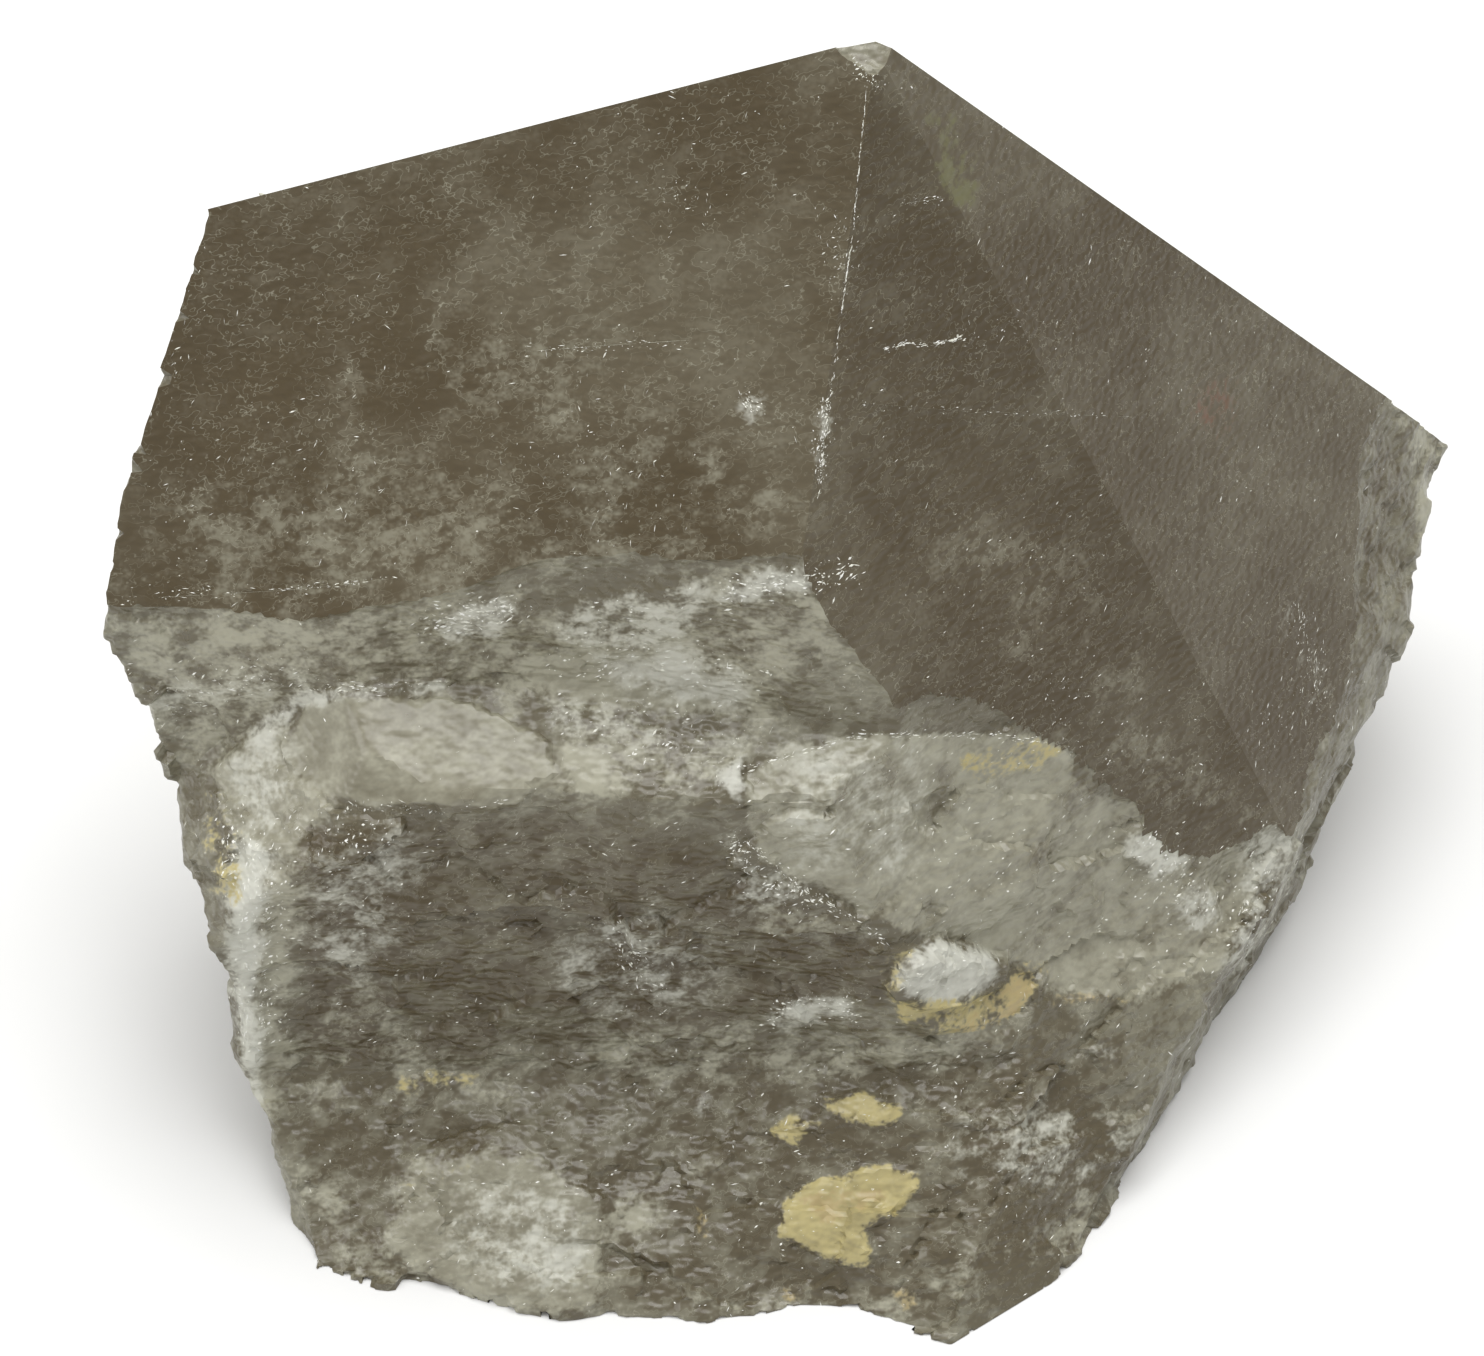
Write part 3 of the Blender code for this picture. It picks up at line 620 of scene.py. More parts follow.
def thicken_growth_faces(shape, planes):
    """Raise every growth face by the gap, so that the worked surface can be cut back to it."""
    faces = set().union(*(members for direction, distance, members in planes))
    raised = bmesh.ops.extrude_face_region(shape, geom=list(faces))
    bmesh.ops.delete(shape, geom=list(faces), context="FACES_ONLY")
    for point in raised["geom"]:
        if not isinstance(point, bmesh.types.BMVert):
            continue
        met = [direction for direction, distance, members in planes
               if abs(direction.dot(point.co) - distance) < PLANE_SLACK * 2]
        if met:
            rows = np.array([tuple(direction) for direction in met])
            move = np.linalg.lstsq(rows, np.full(len(met), SKIN_GAP), rcond=None)[0]
            point.co += Vector(move)
    bmesh.ops.recalc_face_normals(shape, faces=shape.faces)


def after_steps(context, mesh, steps):
    """A mesh after a row of modifiers: each one's kind, its settings and its cutting mesh, or None."""
    carrier = added(context, "carrier", mesh)
    helpers = [carrier]
    for kind, settings, cutter in steps:
        step = carrier.modifiers.new(kind, kind)
        for name, setting in settings.items():
            setattr(step, name, setting)
        if cutter:
            step.object = added(context, "cutter", cutter)
            helpers.append(step.object)
    result = bpy.data.meshes.new_from_object(carrier.evaluated_get(context.evaluated_depsgraph_get()))
    for helper in helpers:
        bpy.data.objects.remove(helper)
    return result


def chips(places, size, stretch, seed):
    """Flat tilted chips: a height from -1 to 1 at each place, with a step from one chip to the next."""
    heights = np.zeros(len(places))
    shift = Vector((seed * 3.7, seed * 5.3, seed * 1.9))
    for number, place in enumerate(places):
        spot = Vector([part * wide for part, wide in zip(place, stretch)]) / size + shift
        middle = noise.voronoi(spot)[1][0]
        lean = noise.cell_vector(middle * 7.13 + shift)
        heights[number] = (spot - middle).dot(lean - Vector((0.5, 0.5, 0.5))) * 2.0 + (lean.x - 0.5) * 0.9
    return heights


def ripples(places, size, seed, octaves=3):
    """A soft uneven height from about -1 to 1 at each place."""
    shift = Vector((seed * 2.9, seed * 4.1, seed * 6.7))
    return np.array([noise.fractal(Vector(place) / size + shift, 0.9, 2.1, octaves) for place in places])


def visible_marks(places, normals, table, spread):
    """How strongly each kind of mark shows at each place, and how far the marks raise the surface."""
    tree = tree_of(CRYSTAL.data)
    seen = np.zeros(len(places))
    for number in np.nonzero(normals @ np.array(VIEW_BACK) > TURNED_AWAY)[0]:
        run = Vector(places[number]) - CAMERA_PLACE
        hit = tree.ray_cast(CAMERA_PLACE, run.normalized())
        seen[number] = hit[0] is None or hit[3] > run.length - SIGHT_SLACK
    wander = np.stack([ripples(places, WANDER_WIDTH, seed, 2) for seed in WANDERS], axis=1)
    pixels = in_front_view(places) + wander * WANDER * PIXELS_PER_MM
    strength = np.zeros((len(MARK_KINDS), len(places)))
    lift = np.zeros(len(places))
    for kind, amount, rise, softness, outline in table.values():
        cover = inside_outline(pixels, outline, softness * spread) * seen
        strength[kind] = np.maximum(strength[kind], cover * amount)
        lift += cover * rise * MM
    return strength, lift


def vectors_of(items, name):
    """One vector of each vertex or polygon of a mesh, as an array."""
    values = np.empty(len(items) * 3, dtype=np.float32)
    items.foreach_get(name, values)
    return values.reshape(-1, 3).astype(float)


def corner_points(mesh):
    """The number of the vertex at each corner of a mesh's polygons."""
    numbers = np.empty(len(mesh.loops), dtype=np.int32)
    mesh.loops.foreach_get("vertex_index", numbers)
    return numbers


def worked_surface(mesh, planes, settings):
    """Break up the surface of an evenly divided mesh.

    What starts below a growth face's plane stays below it, so that no new flat opens in the break.
    """
    places = vectors_of(mesh.vertices, "co")
    normals = vectors_of(mesh.vertices, "normal")
    strength, lift = visible_marks(places, normals, MARKS, 1.0)
    high = np.clip((places[:, 2] - CALM_ABOVE) / CALM_FADE, 0.0, 1.0)
    calm = (1.0 - strength[SMOOTH] * POLISH_CALM) * (1.0 - high * CALM_SHARE)
    large = chips(places, settings.large_chip, LARGE_STRETCH, LARGE_CHIPS) * settings.large_height
    small = chips(places, settings.small_chip, SMALL_STRETCH, SMALL_CHIPS) * settings.small_height
    soft = ripples(places, SWELL_WIDTH, SWELL) * settings.swell_height
    fine = ripples(places, GRAIN_WIDTH, GRAIN) * settings.grain_height
    height = (large + small + fine + soft) * calm + lift
    for direction, distance in planes:
        room = distance - places @ np.array(direction)
        slope = normals @ np.array(direction)
        below = (room > 0.0) | ((room > -PLANE_TOUCH) & (slope > 0.5))
        most = (room[below] - PLANE_SLACK * 2) / np.maximum(slope[below], 0.05)
        height[below] = np.minimum(height[below], most)
    places = places + normals * height[:, None]
    mesh.vertices.foreach_set("co", places.astype(np.float32).ravel())
    mesh.update()


def outward_mesh(shape, name):
    """The mesh of a closed shape, in triangles that face outwards."""
    bmesh.ops.triangulate(shape, faces=shape.faces)
    bmesh.ops.recalc_face_normals(shape, faces=shape.faces)
    return mesh_from(shape, name)


def hull_mesh(planes):
    """The closed shape that the whole growth faces bound."""
    shape = bmesh.new()
    bmesh.ops.create_cube(shape, size=HULL_BLANK)
    for direction, distance in planes:
        everything = shape.verts[:] + shape.edges[:] + shape.faces[:]
        cut = bmesh.ops.bisect_plane(shape, geom=everything, plane_co=direction * distance,
                                     plane_no=direction, clear_outer=True)
        rim = [piece for piece in cut["geom_cut"] if isinstance(piece, bmesh.types.BMEdge)]
        bmesh.ops.holes_fill(shape, edges=rim)
    return outward_mesh(shape, "growth_hull")


def wedge_mesh(wall, floor):
    """The space in front of one plane and above another."""
    wall_direction, wall_distance = wall
    floor_direction, floor_distance = floor
    line = wall_direction.cross(floor_direction).normalized()
    up_wall = line.cross(wall_direction)
    if up_wall.dot(floor_direction) < 0.0:
        up_wall = -up_wall
    along_floor = line.cross(floor_direction)
    if along_floor.dot(wall_direction) < 0.0:
        along_floor = -along_floor
    corner = Matrix((wall_direction, floor_direction, line)).inverted() @ Vector(
        (wall_distance, floor_distance, -WEDGE_REACH / 2))
    shape = bmesh.new()
    bmesh.ops.create_cube(shape, size=1.0)
    bmesh.ops.translate(shape, verts=shape.verts, vec=(0.5, 0.5, 0.5))
    sides = Matrix([side * WEDGE_REACH for side in (along_floor, up_wall, line)]).transposed().to_4x4()
    bmesh.ops.transform(shape, matrix=Matrix.Translation(corner) @ sides, verts=shape.verts)
    return outward_mesh(shape, "face_wedge")


def face_numbers(mesh, planes):
    """The number of the growth face that each polygon lies on, or -1 where it is broken."""
    centres = vectors_of(mesh.polygons, "center")
    normals = vectors_of(mesh.polygons, "normal")
    numbers = np.full(len(centres), -1)
    for number, (direction, distance) in enumerate(planes):
        level = np.abs(centres @ np.array(direction) - distance) < PLANE_SLACK
        numbers[level & (normals @ np.array(direction) > 0.999)] = number
    return numbers


def divide_growth_faces(mesh, planes):
    """Cut the wide growth faces into a grid, so that their marks can be stored on them."""
    whole = np.nonzero(face_numbers(mesh, planes) >= 0)[0]
    shape = bmesh.new()
    shape.from_mesh(mesh)
    shape.faces.ensure_lookup_table()
    faces = [shape.faces[number] for number in whole]
    pieces = list({point for face in faces for point in face.verts} | {
        edge for face in faces for edge in face.edges}) + faces
    low, high = CAD_BOX
    for axis in (0, 2):
        across = Vector([float(axis == each) for each in range(3)])
        for place in np.arange(low[axis] + FACE_GRID / 2, high[axis], FACE_GRID):
            pieces = bmesh.ops.bisect_plane(shape, geom=pieces, plane_co=across * place,
                                            plane_no=across)["geom"]
    bmesh.ops.triangulate(shape, faces=shape.faces)
    shape.to_mesh(mesh)
    shape.free()


def paint(mesh, planes):
    """Store on each corner whether it is broken and how strong each mark is, and set the edges."""
    places = vectors_of(mesh.vertices, "co")
    normals = vectors_of(mesh.vertices, "normal")
    numbers = face_numbers(mesh, planes)
    broken = numbers < 0
    owner = corner_points(mesh)
    on_break = np.repeat(broken, 3)
    on_rough = visible_marks(places, normals, MARKS, COLOUR_SPREAD)[0][:, owner]
    on_faces = visible_marks(places, normals, FACE_MARKS, COLOUR_SPREAD)[0][:, owner]
    strength = np.where(on_break, on_rough, on_faces)
    # Painted shade: the whole right front face is darkened
    strength[DARK] += np.where(np.repeat(numbers == len(planes) - 1, 3), RIGHT_FRONT_PAINTED_SHADE, 0.0)
    mottle = 0.5 + ripples(places, MOTTLE_WIDTH, MOTTLE)[owner] * 0.5
    clouds = 0.5 + ripples(places, CLOUD_WIDTH, CLOUDS)[owner] * 0.5
    for name, channels in (("marks", strength[[PALE, MILK, YELLOW]]),
                           ("tones", strength[[ORANGE, DARK, SMOOTH]]),
                           ("cover", np.stack((on_break.astype(float), mottle, clouds)))):
        layer = mesh.color_attributes.new(name, "FLOAT_COLOR", "CORNER")
        values = np.ones((len(owner), 4), dtype=np.float32)
        values[:, :3] = channels.T
        layer.data.foreach_set("color", values.ravel())
    mesh.set_sharp_from_angle(angle=SHARP_ANGLE)
    mesh.polygons.foreach_set("use_smooth", broken)


def quartz_material(settings):
    """Etched smoky quartz, clear below its skin, with frosted, milky and stained breaks, and painted shade
    on its dark marks.
    """
    net = Network("smoky_quartz_body")
    pale_mark, milk_mark, yellow_mark = net.stored("marks")
    orange_mark, dark, polish = net.stored("tones")
    broken, mottle, clouds = net.stored("cover")

    streaky = net.grain(net.stretched(*STREAK_STRETCH, STREAK_TILT), STREAK_SCALE, 2.0, 0.7)
    fine = net.grain(net.place, FINE_SCALE, 1.0, 0.6)
    soft = (mottle - 0.5) * 0.9 + (streaky - 0.5) * 1.5
    ragged = soft + (fine - 0.5) * (0.9 - polish * 0.8)
    pale, milk, yellow, orange = [
        net.step(mark + mark * (middle - mark) * ragged * rough, low, high)
        for mark, (middle, rough, low, high) in zip(
            (pale_mark, milk_mark, yellow_mark, orange_mark), BREAK_UP)]

    depths = clouds * 0.8 + mottle * 0.25 + streaky * 0.25
    # On the growth faces dark marks deepen the smoke: the stone's brown tone in places, and painted shade
    # over the whole right front face
    smoke = net.colour(net.step(depths - dark * 0.2, 0.4, 0.9), settings.smoke_dark, settings.smoke_light)
    haze = net.step(ragged + clouds * 0.5, 0.2, 0.8) * (0.12 - dark * 0.06)
    smoke = net.colour(haze, smoke, settings.pale)
    frosting = net.step(soft + clouds * 0.6, 0.05, 0.65)
    break_colour = net.colour(frosting, settings.break_dark, settings.break_light)
    # Painted shade: where a break carries a dark mark, its colour turns towards the shaded wall colour
    painted_shade_colour = net.colour(net.step(soft, -0.25, 0.3), settings.smoke_dark, settings.shadow)
    break_colour = net.colour(dark * 0.85, break_colour, painted_shade_colour)
    crush = net.step(ragged - dark * 0.1, 0.15, 0.7)
    break_colour = net.colour(crush * 0.42, break_colour, settings.pale)
    colour = net.colour(broken, smoke, break_colour)
    thread = 1.0 - net.step(abs(streaky - 0.5), 0.0, THREAD_WIDTH)
    colour = net.colour(thread * mottle * (1.0 - polish) * 0.75, colour, settings.pale)
    frost = soft * 0.55 + 0.7 - polish * 0.24 - dark * 0.2
    colour = net.colour(pale * frost * (broken * 0.55 + 0.45), colour, settings.pale)
    colour = net.colour(milk * (milk_mark * 0.66 + soft * 0.4 + 0.24), colour, settings.milk)
    film = net.colour(broken, settings.olive, settings.yellow)
    colour = net.colour(yellow * (soft * 0.6 + 0.82), colour, film)
    rusty = net.colour(broken, settings.rust, settings.orange)
    colour = net.colour(orange * (soft * 0.8 + 0.7), colour, rusty)

    roughness = settings.face_roughness + mottle * 0.14 + milk * 0.12 - broken * 0.06
    relief = net.grain(net.stretched(*RELIEF_STRETCH), RELIEF_SCALE, 0.0)
    normal = net.bump(relief * (broken * (1.0 - polish) + 0.7), 0.7, RELIEF_DEPTH)

    stone = net.node("ShaderNodeBsdfPrincipled", {"distribution": "GGX"}, {
        "Base Color": colour, "Roughness": roughness, "Normal": normal, "IOR": settings.ior,
        "Specular IOR Level": 0.4, "Transmission Weight": settings.transmission})
    inside = net.node("ShaderNodeVolumeAbsorption", {}, {
        "Color": settings.absorption_colour, "Density": settings.absorption_density})
    return net.finished(stone, inside)


def crushed_material(name, first, second, gaps=0.0):
    """Finely crushed quartz: two tones of white, with gaps where the sheet is broken."""
    net = Network(name)
    cloud = net.grain(net.place, CRUSHED_CLOUDS, 2.0, 0.6)
    grain = net.grain(net.place, CRUSHED_GRAIN, 1.0)
    sockets = {"Base Color": net.colour(net.step(cloud * 0.6 + grain * 0.4, 0.38, 0.62), first, second),
               "Roughness": grain * 0.3 + 0.3, "Specular IOR Level": 0.4}
    if gaps:
        sockets["Alpha"] = net.step(cloud * 0.7 + grain * 0.3, gaps - 0.05, gaps + 0.05)
    white = net.node("ShaderNodeBsdfPrincipled", {}, sockets)
    return net.finished(white)


def along_pixels(outline, shares):
    """The pixels at given shares of the length of a line of pixels."""
    corners = np.array(outline, dtype=float)
    lengths = np.linalg.norm(np.diff(corners, axis=0), axis=1)
    marks = np.concatenate(([0.0], np.cumsum(lengths))) / lengths.sum()
    return np.stack([np.interp(shares, marks, corners[:, axis]) for axis in (0, 1)], axis=1)


def unit(vectors):
    """Each of an array of vectors, at length 1."""
    return vectors / np.maximum(np.linalg.norm(vectors, axis=1, keepdims=True), 1e-9)


def across_picture(angles, normals):
    """The direction along each surface that leans at an angle in the front view."""
    runs = np.cos(angles)[:, None] * np.array(VIEW_RIGHT) + np.sin(angles)[:, None] * np.array(VIEW_UP)
    return unit(runs - (runs * normals).sum(axis=1, keepdims=True) * normals)


def splinter_mesh(name, places, normals, runs, lengths, widths, heights):
    """Flat pointed splinters: where each lies, which way it faces and runs, and its three sizes."""
    sides = np.cross(normals, runs)
    corners = np.stack((
        places - runs * lengths[:, None] / 2, places + runs * lengths[:, None] / 2,
        places - sides * widths[:, None] / 2, places + sides * widths[:, None] / 2,
        places + normals * heights[:, None], places - normals * heights[:, None]), axis=1)
    one = np.array(((0, 2, 4), (2, 1, 4), (1, 3, 4), (3, 0, 4), (2, 0, 5), (1, 2, 5), (3, 1, 5), (0, 3, 5)))
    faces = (one[None] + np.arange(len(places))[:, None, None] * 6).reshape(-1, 3)
    mesh = bpy.data.meshes.new(name)
    mesh.from_pydata(corners.reshape(-1, 3).tolist(), [], faces.tolist())
    return mesh


def place_piece(context, name, mesh, material):
    """Add a finished piece to the scene, on the stone."""
    mesh.materials.clear()
    mesh.materials.append(material)
    piece = added(context, name, mesh)
    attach(piece, "root")
    return piece


def uneven(rng, count, least, power):
    """Shares from the least one up to 1, most of them small where the power is high."""
    return least + (1.0 - least) * rng.random(count) ** power


def splinters_along_runs(tree, rng):
    """Splinters along the runs: their places, normals, leans, lengths and greatest widths."""
    spots, normals, angles, lengths, widest = [], [], [], [], []
    for outline, stray, count, longest, lean, width in SPLINTER_RUNS.values():
        shares = rng.random(count)
        ahead = np.minimum(shares + RUN_STEP, 1.0)
        run = along_pixels(outline, ahead) - along_pixels(outline, ahead - RUN_STEP)
        pixels = along_pixels(outline, shares) + rng.normal(0.0, stray * PIXELS_PER_MM, (count, 2))
        turn = np.arctan2(-run[:, 1], run[:, 0]) + rng.normal(0.0, 0.12, count) if lean is None else (
            radians(lean) + rng.normal(0.0, 0.5, count))
        sizes = longest * MM * uneven(rng, count, 0.12, 3)
        for pixel, angle, size in zip(pixels, turn, sizes):
            spot, normal = tree.ray_cast(CAMERA_PLACE, sight_line(*pixel))[:2]
            if spot is not None:
                spots.append(tuple(spot))
                normals.append(tuple(normal))
                angles.append(angle)
                lengths.append(size)
                widest.append(width * MM)
    return spots, normals, angles, lengths, widest


def scattered_splinters(mesh, settings, rng):
    """Splinters all over the stone, white crushed quartz and painted sparkle, closest together on its milky
    breaks, told in the same way.
    """
    corners = vectors_of(mesh.vertices, "co")[corner_points(mesh)].reshape(-1, 3, 3)
    areas = np.linalg.norm(np.cross(corners[:, 1] - corners[:, 0], corners[:, 2] - corners[:, 0]), axis=1)
    chosen = rng.choice(len(areas), settings.scatter, p=areas / areas.sum())
    shares = rng.dirichlet((1.0, 1.0, 1.0), settings.scatter)
    tried = (corners[chosen] * shares[:, :, None]).sum(axis=1)
    stored = {}
    for name in ("marks", "cover"):
        values = np.empty(len(mesh.loops) * 4, dtype=np.float32)
        mesh.color_attributes[name].data.foreach_get("color", values)
        stored[name] = values.reshape(-1, 3, 4).mean(axis=1)[chosen]
    rough = stored["cover"][:, 0]
    milky = stored["marks"][:, 0] * 0.1 + stored["marks"][:, 1] * 0.35
    cluster = ripples(tried, CLUSTER_WIDTH, CLUSTERS)
    chance = np.clip(0.05 + cluster * 0.25, 0.0, 1.0) * (0.8 + rough) + rough * milky
    kept = rng.random(settings.scatter) < chance
    count = int(kept.sum())
    angles = radians(40.0) + rng.normal(0.0, 0.7, count)
    lengths = settings.longest * uneven(rng, count, 0.15, 3)
    facings = vectors_of(mesh.polygons, "normal")[chosen][kept]
    return tried[kept], facings, angles, lengths, np.full(count, settings.width)


def colour_setting(name, description, *channels):
    """A colour that a user can change."""
    return FloatVectorProperty(name=name, description=description, default=shade(*channels), size=4,
                               subtype="COLOR")


def length_setting(name, description, millimetres):
    """A length that a user can change."""
    return FloatProperty(name=name, description=description, default=millimetres * MM, unit="LENGTH")


class QuartzBodySettings(bpy.types.PropertyGroup):
    """The stone itself."""

    cell: length_setting("Surface cell", "Size of one small square of the broken surface", 0.4)
    large_chip: length_setting("Large chip", "Width of the large chips", 4.6)
    large_height: length_setting("Large chip height", "How far the large chips stand out", 0.42)
    small_chip: length_setting("Small chip", "Width of the small chips", 1.7)
    small_height: length_setting("Small chip height", "How far the small chips stand out", 0.16)
    swell_height: length_setting("Swell", "Height of the soft waves of the broken surface", 0.35)
    grain_height: length_setting("Grain", "Height of the finest roughness", 0.08)
    smoke_dark: colour_setting("Dark smoke", "Colour of the darkest smoky parts", 0.110, 0.081, 0.038)
    smoke_light: colour_setting("Light smoke", "Colour of the lighter smoky parts", 0.168, 0.139, 0.084)
    break_dark: colour_setting("Dark break", "Colour of the dark broken parts", 0.196, 0.172, 0.112)
    break_light: colour_setting("Light break", "Colour of the light broken parts", 0.340, 0.322, 0.238)
    # Painted shade: the colour that dark marks give the wall under the ledges, the slope, the toe and the
    # right rim
    shadow: colour_setting("Shaded wall", "Colour of the dark hollow wall", 0.205, 0.180, 0.118)
    pale: colour_setting("Frosted", "Colour of the frosted ledges", 0.580, 0.562, 0.430)
    milk: colour_setting("Milky", "Colour of crushed and milky quartz", 0.880, 0.880, 0.770)
    # The brightest splinters: partly white crushed quartz, partly painted sparkle
    splinter_white_and_sparkle: colour_setting("Glint", "Colour of the brightest splinters", 0.980, 0.980, 0.930)
    yellow: colour_setting("Yellow stain", "Colour of the yellow stains", 0.720, 0.620, 0.290)
    olive: colour_setting("Olive film", "Colour of the olive film at the notch", 0.220, 0.210, 0.100)
    rust: colour_setting("Rust haze", "Colour of the reddish haze under a face", 0.230, 0.120, 0.070)
    orange: colour_setting("Rust stain", "Colour of the rusty stains", 0.640, 0.510, 0.250)
    face_roughness: FloatProperty(name="Face roughness", description="Roughness of the etched faces",
                                  default=0.3, min=0.0, max=1.0, subtype="FACTOR")
    transmission: FloatProperty(name="Transmission", description="How much light the skin lets through",
                                default=0.32, min=0.0, max=1.0, subtype="FACTOR")
    ior: FloatProperty(name="Refraction", description="Index of refraction of quartz", default=1.544)
    absorption_colour: colour_setting("Smoke inside", "Colour of the light inside", 0.62, 0.50, 0.33)
    absorption_density: FloatProperty(name="Smoke density", description="How fast the stone darkens light",
                                      default=45.0)


class SplinterSettings(bpy.types.PropertyGroup):
    """The tiny splinters on the stone."""

    scatter: IntProperty(name="Scattered splinters", description="How many places are tried",
                         default=22000)
    width: length_setting("Splinter width", "Width of the widest splinter", 0.1)
    height: length_setting("Splinter height", "How far a splinter stands out", 0.03)
    longest: length_setting("Splinter length", "Length of the longest scattered splinter", 0.55)


class SealedSettings(bpy.types.PropertyGroup):
    """What is sealed inside the stone."""

    flecks: IntProperty(name="Flecks", description="How many flecks lie under the growth faces",
                        default=180)
    deepest: length_setting("Deepest fleck", "How far under a face the deepest fleck lies", 4.0)
    fleck: length_setting("Fleck length", "Length of the longest fleck", 1.1)
    sheet: length_setting("Veil thickness", "Thickness of a healed crack", 0.04)


class StageSettings(bpy.types.PropertyGroup):
    """The floor and the lights."""

    floor_colour: colour_setting("Floor colour", "Colour of the pale floor", 0.86, 0.86, 0.85)
    floor_shade: colour_setting("Floor shade", "Colour of the floor's soft clouds", 0.80, 0.80, 0.79)
    top_light: FloatProperty(name="Top light", description="Strength of the large light overhead",
                             default=4.0, unit="POWER")
    side_light: FloatProperty(name="Side light", description="Strength of the soft light at the left",
                              default=1.1, unit="POWER")
    room_light: FloatProperty(name="Room light", description="Strength of the light all round",
                              default=0.45)


class QUARTZ_OT_body(bpy.types.Operator):
    """Build the stone: flat etched growth faces above a chipped and stained break"""

    bl_idname = "quartz.body"
    bl_label = "Build the Stone"

    def execute(self, context):
        settings = context.scene.quartz_body
        noise.seed_set(RELIEF_SEED)
        shape = bmesh.new()
        shape.from_mesh(CRYSTAL.data)
        bmesh.ops.remove_doubles(shape, verts=shape.verts, dist=WELD)
        shape.faces.ensure_lookup_table()
        foot_direction, foot_distance = plane_facing(shape, FACE_FOOT)[:2]
        planes = growth_planes(shape)
        thicken_growth_faces(shape, planes)
        planes = [(direction, distance) for direction, distance, members in planes]
        even = {"mode": "VOXEL", "voxel_size": settings.cell}
        mesh = after_steps(context, mesh_from(shape, "raised_faces"), [("REMESH", even, None)])
        worked_surface(mesh, planes, settings)
        wedge = wedge_mesh(planes[-1], (foot_direction, foot_distance + FOOT_GAP))
        mesh = after_steps(context, mesh, [
            ("BOOLEAN", {"operation": "INTERSECT", "solver": "MANIFOLD"}, hull_mesh(planes[:-1])),
            ("BOOLEAN", {"operation": "DIFFERENCE", "solver": "MANIFOLD"}, wedge)])
        divide_growth_faces(mesh, planes)
        paint(mesh, planes)
        stone = place_piece(context, "smoky_quartz_body", mesh, quartz_material(settings))
        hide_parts("quartz_crystal")
        return {"FINISHED"}


class QUARTZ_OT_splinters(bpy.types.Operator):
    """Lay tiny white splinters: a painted edge highlight, scratches, and crushed quartz with painted
    sparkle
    """

    bl_idname = "quartz.splinters"
    bl_label = "Lay the Splinters"

    def execute(self, context):
        settings = context.scene.quartz_splinters
        rng = np.random.default_rng(SPLINTER_SEED)
        mesh = bpy.data.objects["smoky_quartz_body"].data
        laid = splinters_along_runs(tree_of(mesh), rng)
        scattered = scattered_splinters(mesh, settings, rng)
        spots, normals, angles, lengths, widest = [
            np.concatenate(halves) for halves in zip(laid, scattered)]
        widths = np.minimum(widest * uneven(rng, len(spots), 0.3, 2), lengths * 0.7)
        heights = np.full(len(spots), settings.height)
        splinters = splinter_mesh("quartz_splinters", spots, normals, across_picture(angles, normals),
                                  lengths, widths, heights)
        body = context.scene.quartz_body
        place_piece(context, "quartz_splinters", splinters,
                    crushed_material("quartz_splinters", body.milk, body.splinter_white_and_sparkle))
        return {"FINISHED"}


class QUARTZ_OT_veils(bpy.types.Operator):
    """Set the healed cracks in the stone, each reaching a growth face in a thin line"""

    bl_idname = "quartz.veils"
    bl_label = "Set the Veils"

    def execute(self, context):
        settings = context.scene.quartz_sealed
        tree = tree_of(CRYSTAL.data)
        shape = bmesh.new()
        for outline, depth, lean in VEILS.values():
            pixels = along_pixels(outline, np.linspace(0.0, 1.0, VEIL_COLUMNS))
            hits = [tree.ray_cast(CAMERA_PLACE, sight_line(*pixel))[:2] for pixel in pixels]
            rows = []
            for number, (spot, normal) in enumerate(hits):
                after = hits[min(number + 1, len(hits) - 1)][0] - hits[max(number - 1, 0)][0]
                down = (Matrix.Rotation(radians(lean), 3, after.normalized()) @ -normal).normalized()
                taper = sin(pi * (number + 0.5) / len(hits)) ** 0.5
                ragged = 0.75 + 0.4 * noise.noise(spot / VEIL_RAGS)
                column = []
                for row in range(VEIL_ROWS + 1):
                    share = row / VEIL_ROWS
                    below = depth * MM * taper * ragged * share
                    fold = noise.noise(spot / VEIL_FOLDS + Vector((0.0, 0.0, share * 2.0)))
                    aside = down.cross(after.normalized()) * fold * VEIL_FOLD_DEPTH * share
                    column.append(shape.verts.new(spot + normal * VEIL_RISE + down * below + aside))
                rows.append(column)
            for left, right in zip(rows, rows[1:]):
                for row in range(VEIL_ROWS):
                    shape.faces.new((left[row], right[row], right[row + 1], left[row + 1]))
        bmesh.ops.solidify(shape, geom=shape.faces[:], thickness=settings.sheet)
        bmesh.ops.recalc_face_normals(shape, faces=shape.faces)
        mesh = mesh_from(shape, "inner_veils")
        body = context.scene.quartz_body
        material = crushed_material("inner_veils", body.pale, body.milk, VEIL_GAPS)
        place_piece(context, "inner_veils", mesh, material)
        return {"FINISHED"}


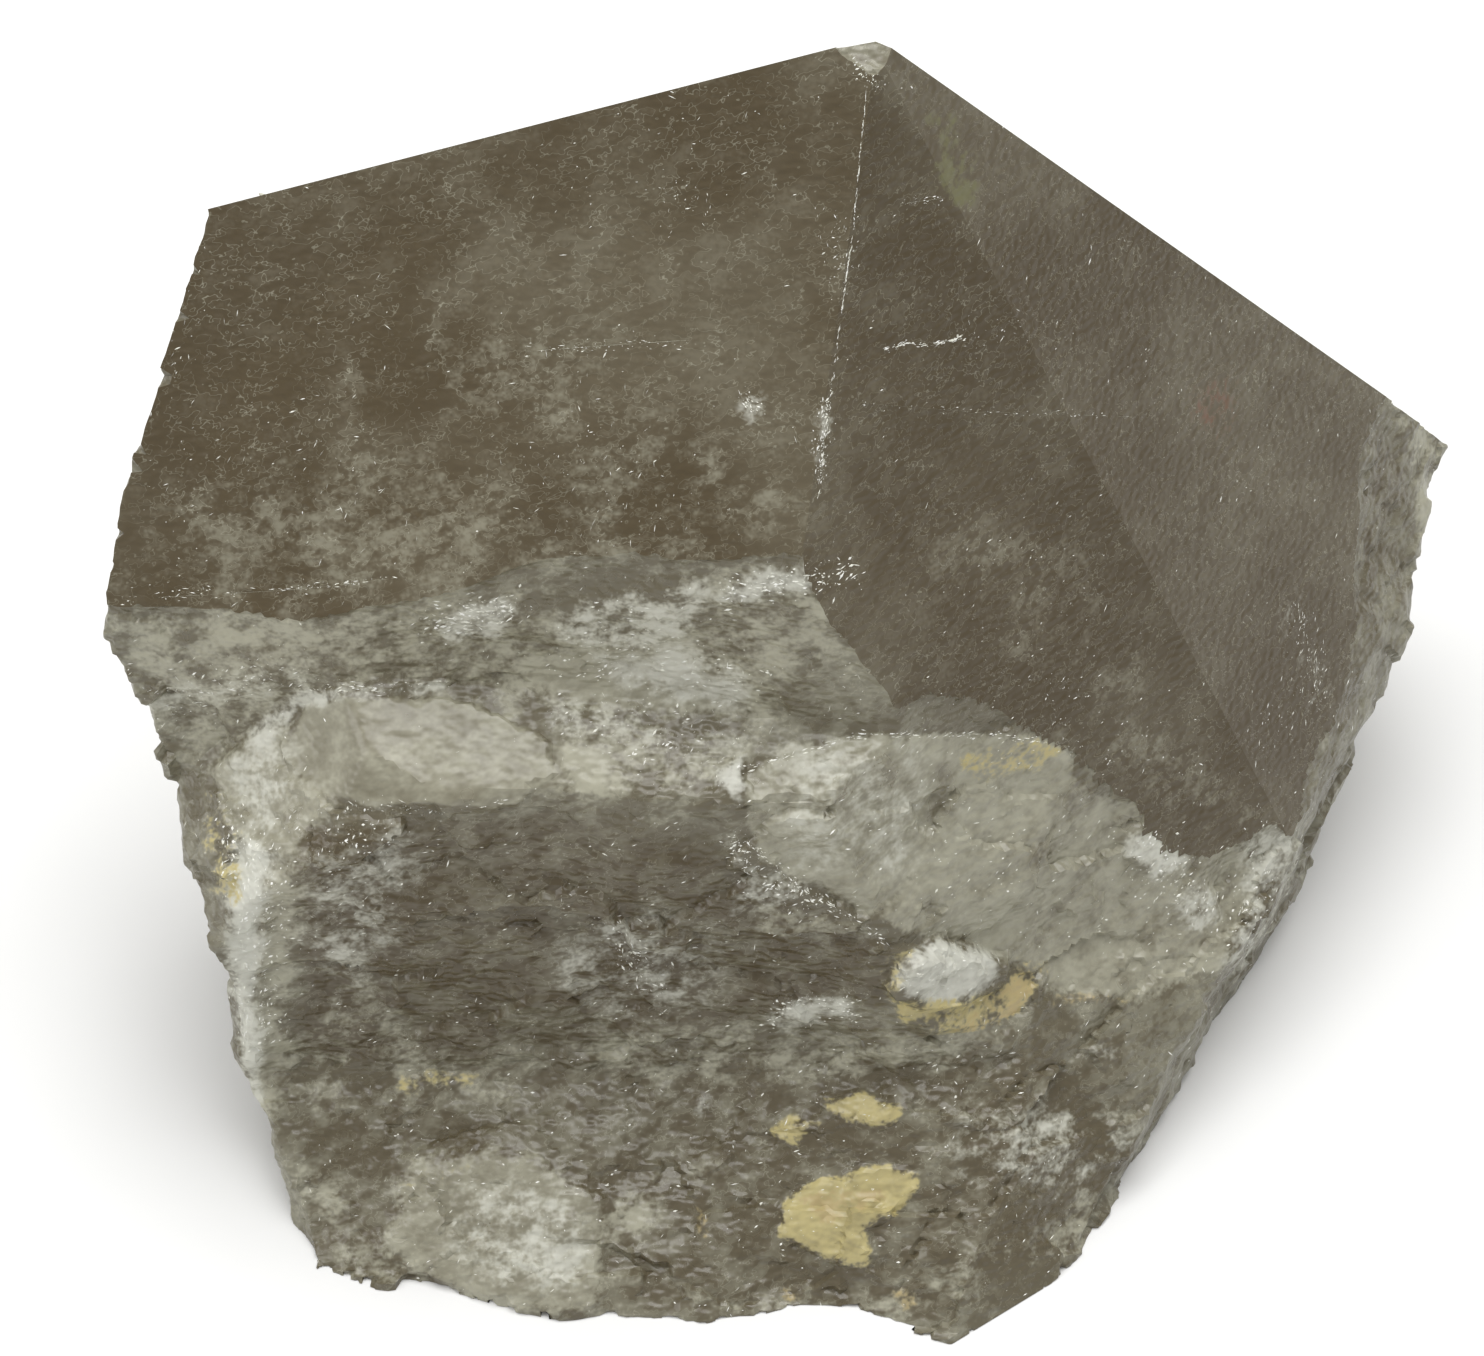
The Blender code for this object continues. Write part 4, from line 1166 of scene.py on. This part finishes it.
class QUARTZ_OT_flecks(bpy.types.Operator):
    """Scatter small milky flecks inside the stone, under its growth faces"""

    bl_idname = "quartz.flecks"
    bl_label = "Scatter the Inner Flecks"

    def execute(self, context):
        settings = context.scene.quartz_sealed
        rng = np.random.default_rng(FLECK_SEED)
        tree = tree_of(CRYSTAL.data)
        spots, normals = [], []
        while len(spots) < settings.flecks:
            pixel = rng.random(2) * FLECK_REACH + FLECK_CORNER
            spot, normal = tree.ray_cast(CAMERA_PLACE, sight_line(*pixel))[:2]
            if spot is not None:
                depth = settings.deepest * (0.15 + 0.85 * rng.random())
                spots.append(tuple(spot - normal * depth))
                normals.append(tuple(Vector(rng.normal(0.0, 0.5, 3)) + normal))
        normals = unit(np.array(normals))
        lengths = settings.fleck * uneven(rng, len(spots), 0.3, 1)
        flecks = splinter_mesh("inner_flecks", np.array(spots), normals,
                               across_picture(rng.random(len(spots)) * pi, normals),
                               lengths, lengths * 0.6, lengths * 0.06)
        body = context.scene.quartz_body
        material = crushed_material("inner_flecks", body.pale, body.milk)
        place_piece(context, "inner_flecks", flecks, material)
        return {"FINISHED"}


class QUARTZ_OT_stage(bpy.types.Operator):
    """Set a pale floor, soft light from above and the camera"""

    bl_idname = "quartz.stage"
    bl_label = "Set the Stage"

    def execute(self, context):
        settings = context.scene.quartz_stage
        scene = context.scene
        scene.view_settings.view_transform = "Standard"
        shape = bmesh.new()
        bmesh.ops.create_grid(shape, x_segments=1, y_segments=1, size=FLOOR_REACH)
        floor = added(context, "pale_floor", mesh_from(shape, "pale_floor"))
        floor.location.z = -FLOOR_DROP
        net = Network("pale_floor")
        cloud = net.grain(net.place, FLOOR_CLOUDS)
        colour = net.colour(cloud * 0.12, settings.floor_colour, settings.floor_shade)
        paper = net.node("ShaderNodeBsdfPrincipled", {}, {
            "Base Color": colour, "Roughness": 0.85, "Specular IOR Level": 0.2})
        floor.data.materials.append(net.finished(paper))

        for name, (place, size), power in (("top_light", TOP_LIGHT, settings.top_light),
                                           ("side_light", SIDE_LIGHT, settings.side_light)):
            light = bpy.data.lights.new(name, "AREA")
            light.size = size
            light.energy = power
            lamp = added(context, name, light)
            lamp.location = place
            lamp.rotation_euler = (place - VIEW_TARGET).to_track_quat("Z", "Y").to_euler()

        world = bpy.data.worlds.new("soft_room")
        world.use_nodes = True
        background = world.node_tree.nodes["Background"]
        background.inputs["Color"].default_value = shade(1.0, 1.0, 1.0)
        background.inputs["Strength"].default_value = settings.room_light
        scene.world = world

        camera = bpy.data.cameras.new("front_camera")
        camera.lens = VIEW_LENS
        camera.sensor_fit = "HORIZONTAL"
        camera.sensor_width = SENSOR_WIDTH
        camera.clip_start = 0.01
        viewer = added(context, "front_camera", camera)
        viewer.location = CAMERA_PLACE
        viewer.rotation_euler = (pi / 2 - VIEW_ELEVATION, 0.0, 0.0)
        scene.camera = viewer
        return {"FINISHED"}


class QUARTZ_PT_panel(bpy.types.Panel):
    """The steps that build the crystal"""

    bl_label = "Smoky Quartz"
    bl_idname = "QUARTZ_PT_panel"
    bl_space_type = "VIEW_3D"
    bl_region_type = "UI"
    bl_category = "Smoky Quartz"

    def draw(self, context):
        for step in OPERATORS:
            self.layout.operator(step.bl_idname)
        for settings in [getattr(context.scene, name) for name in GROUPS]:
            box = self.layout.box()
            for name in settings.__annotations__:
                box.prop(settings, name)


OPERATORS = (QUARTZ_OT_body, QUARTZ_OT_splinters, QUARTZ_OT_veils, QUARTZ_OT_flecks, QUARTZ_OT_stage)
GROUPS = {"quartz_body": QuartzBodySettings, "quartz_splinters": SplinterSettings,
          "quartz_sealed": SealedSettings, "quartz_stage": StageSettings}
CLASSES = tuple(GROUPS.values()) + OPERATORS + (QUARTZ_PT_panel,)


def register():
    for each in CLASSES:
        bpy.utils.register_class(each)
    for name, group in GROUPS.items():
        setattr(bpy.types.Scene, name, PointerProperty(type=group))


def unregister():
    for name in GROUPS:
        delattr(bpy.types.Scene, name)
    for each in reversed(CLASSES):
        bpy.utils.unregister_class(each)


def main():
    register()
    bpy.ops.quartz.body()
    bpy.ops.quartz.splinters()
    bpy.ops.quartz.veils()
    bpy.ops.quartz.flecks()
    bpy.ops.quartz.stage()


if __name__ == "__main__":
    main()
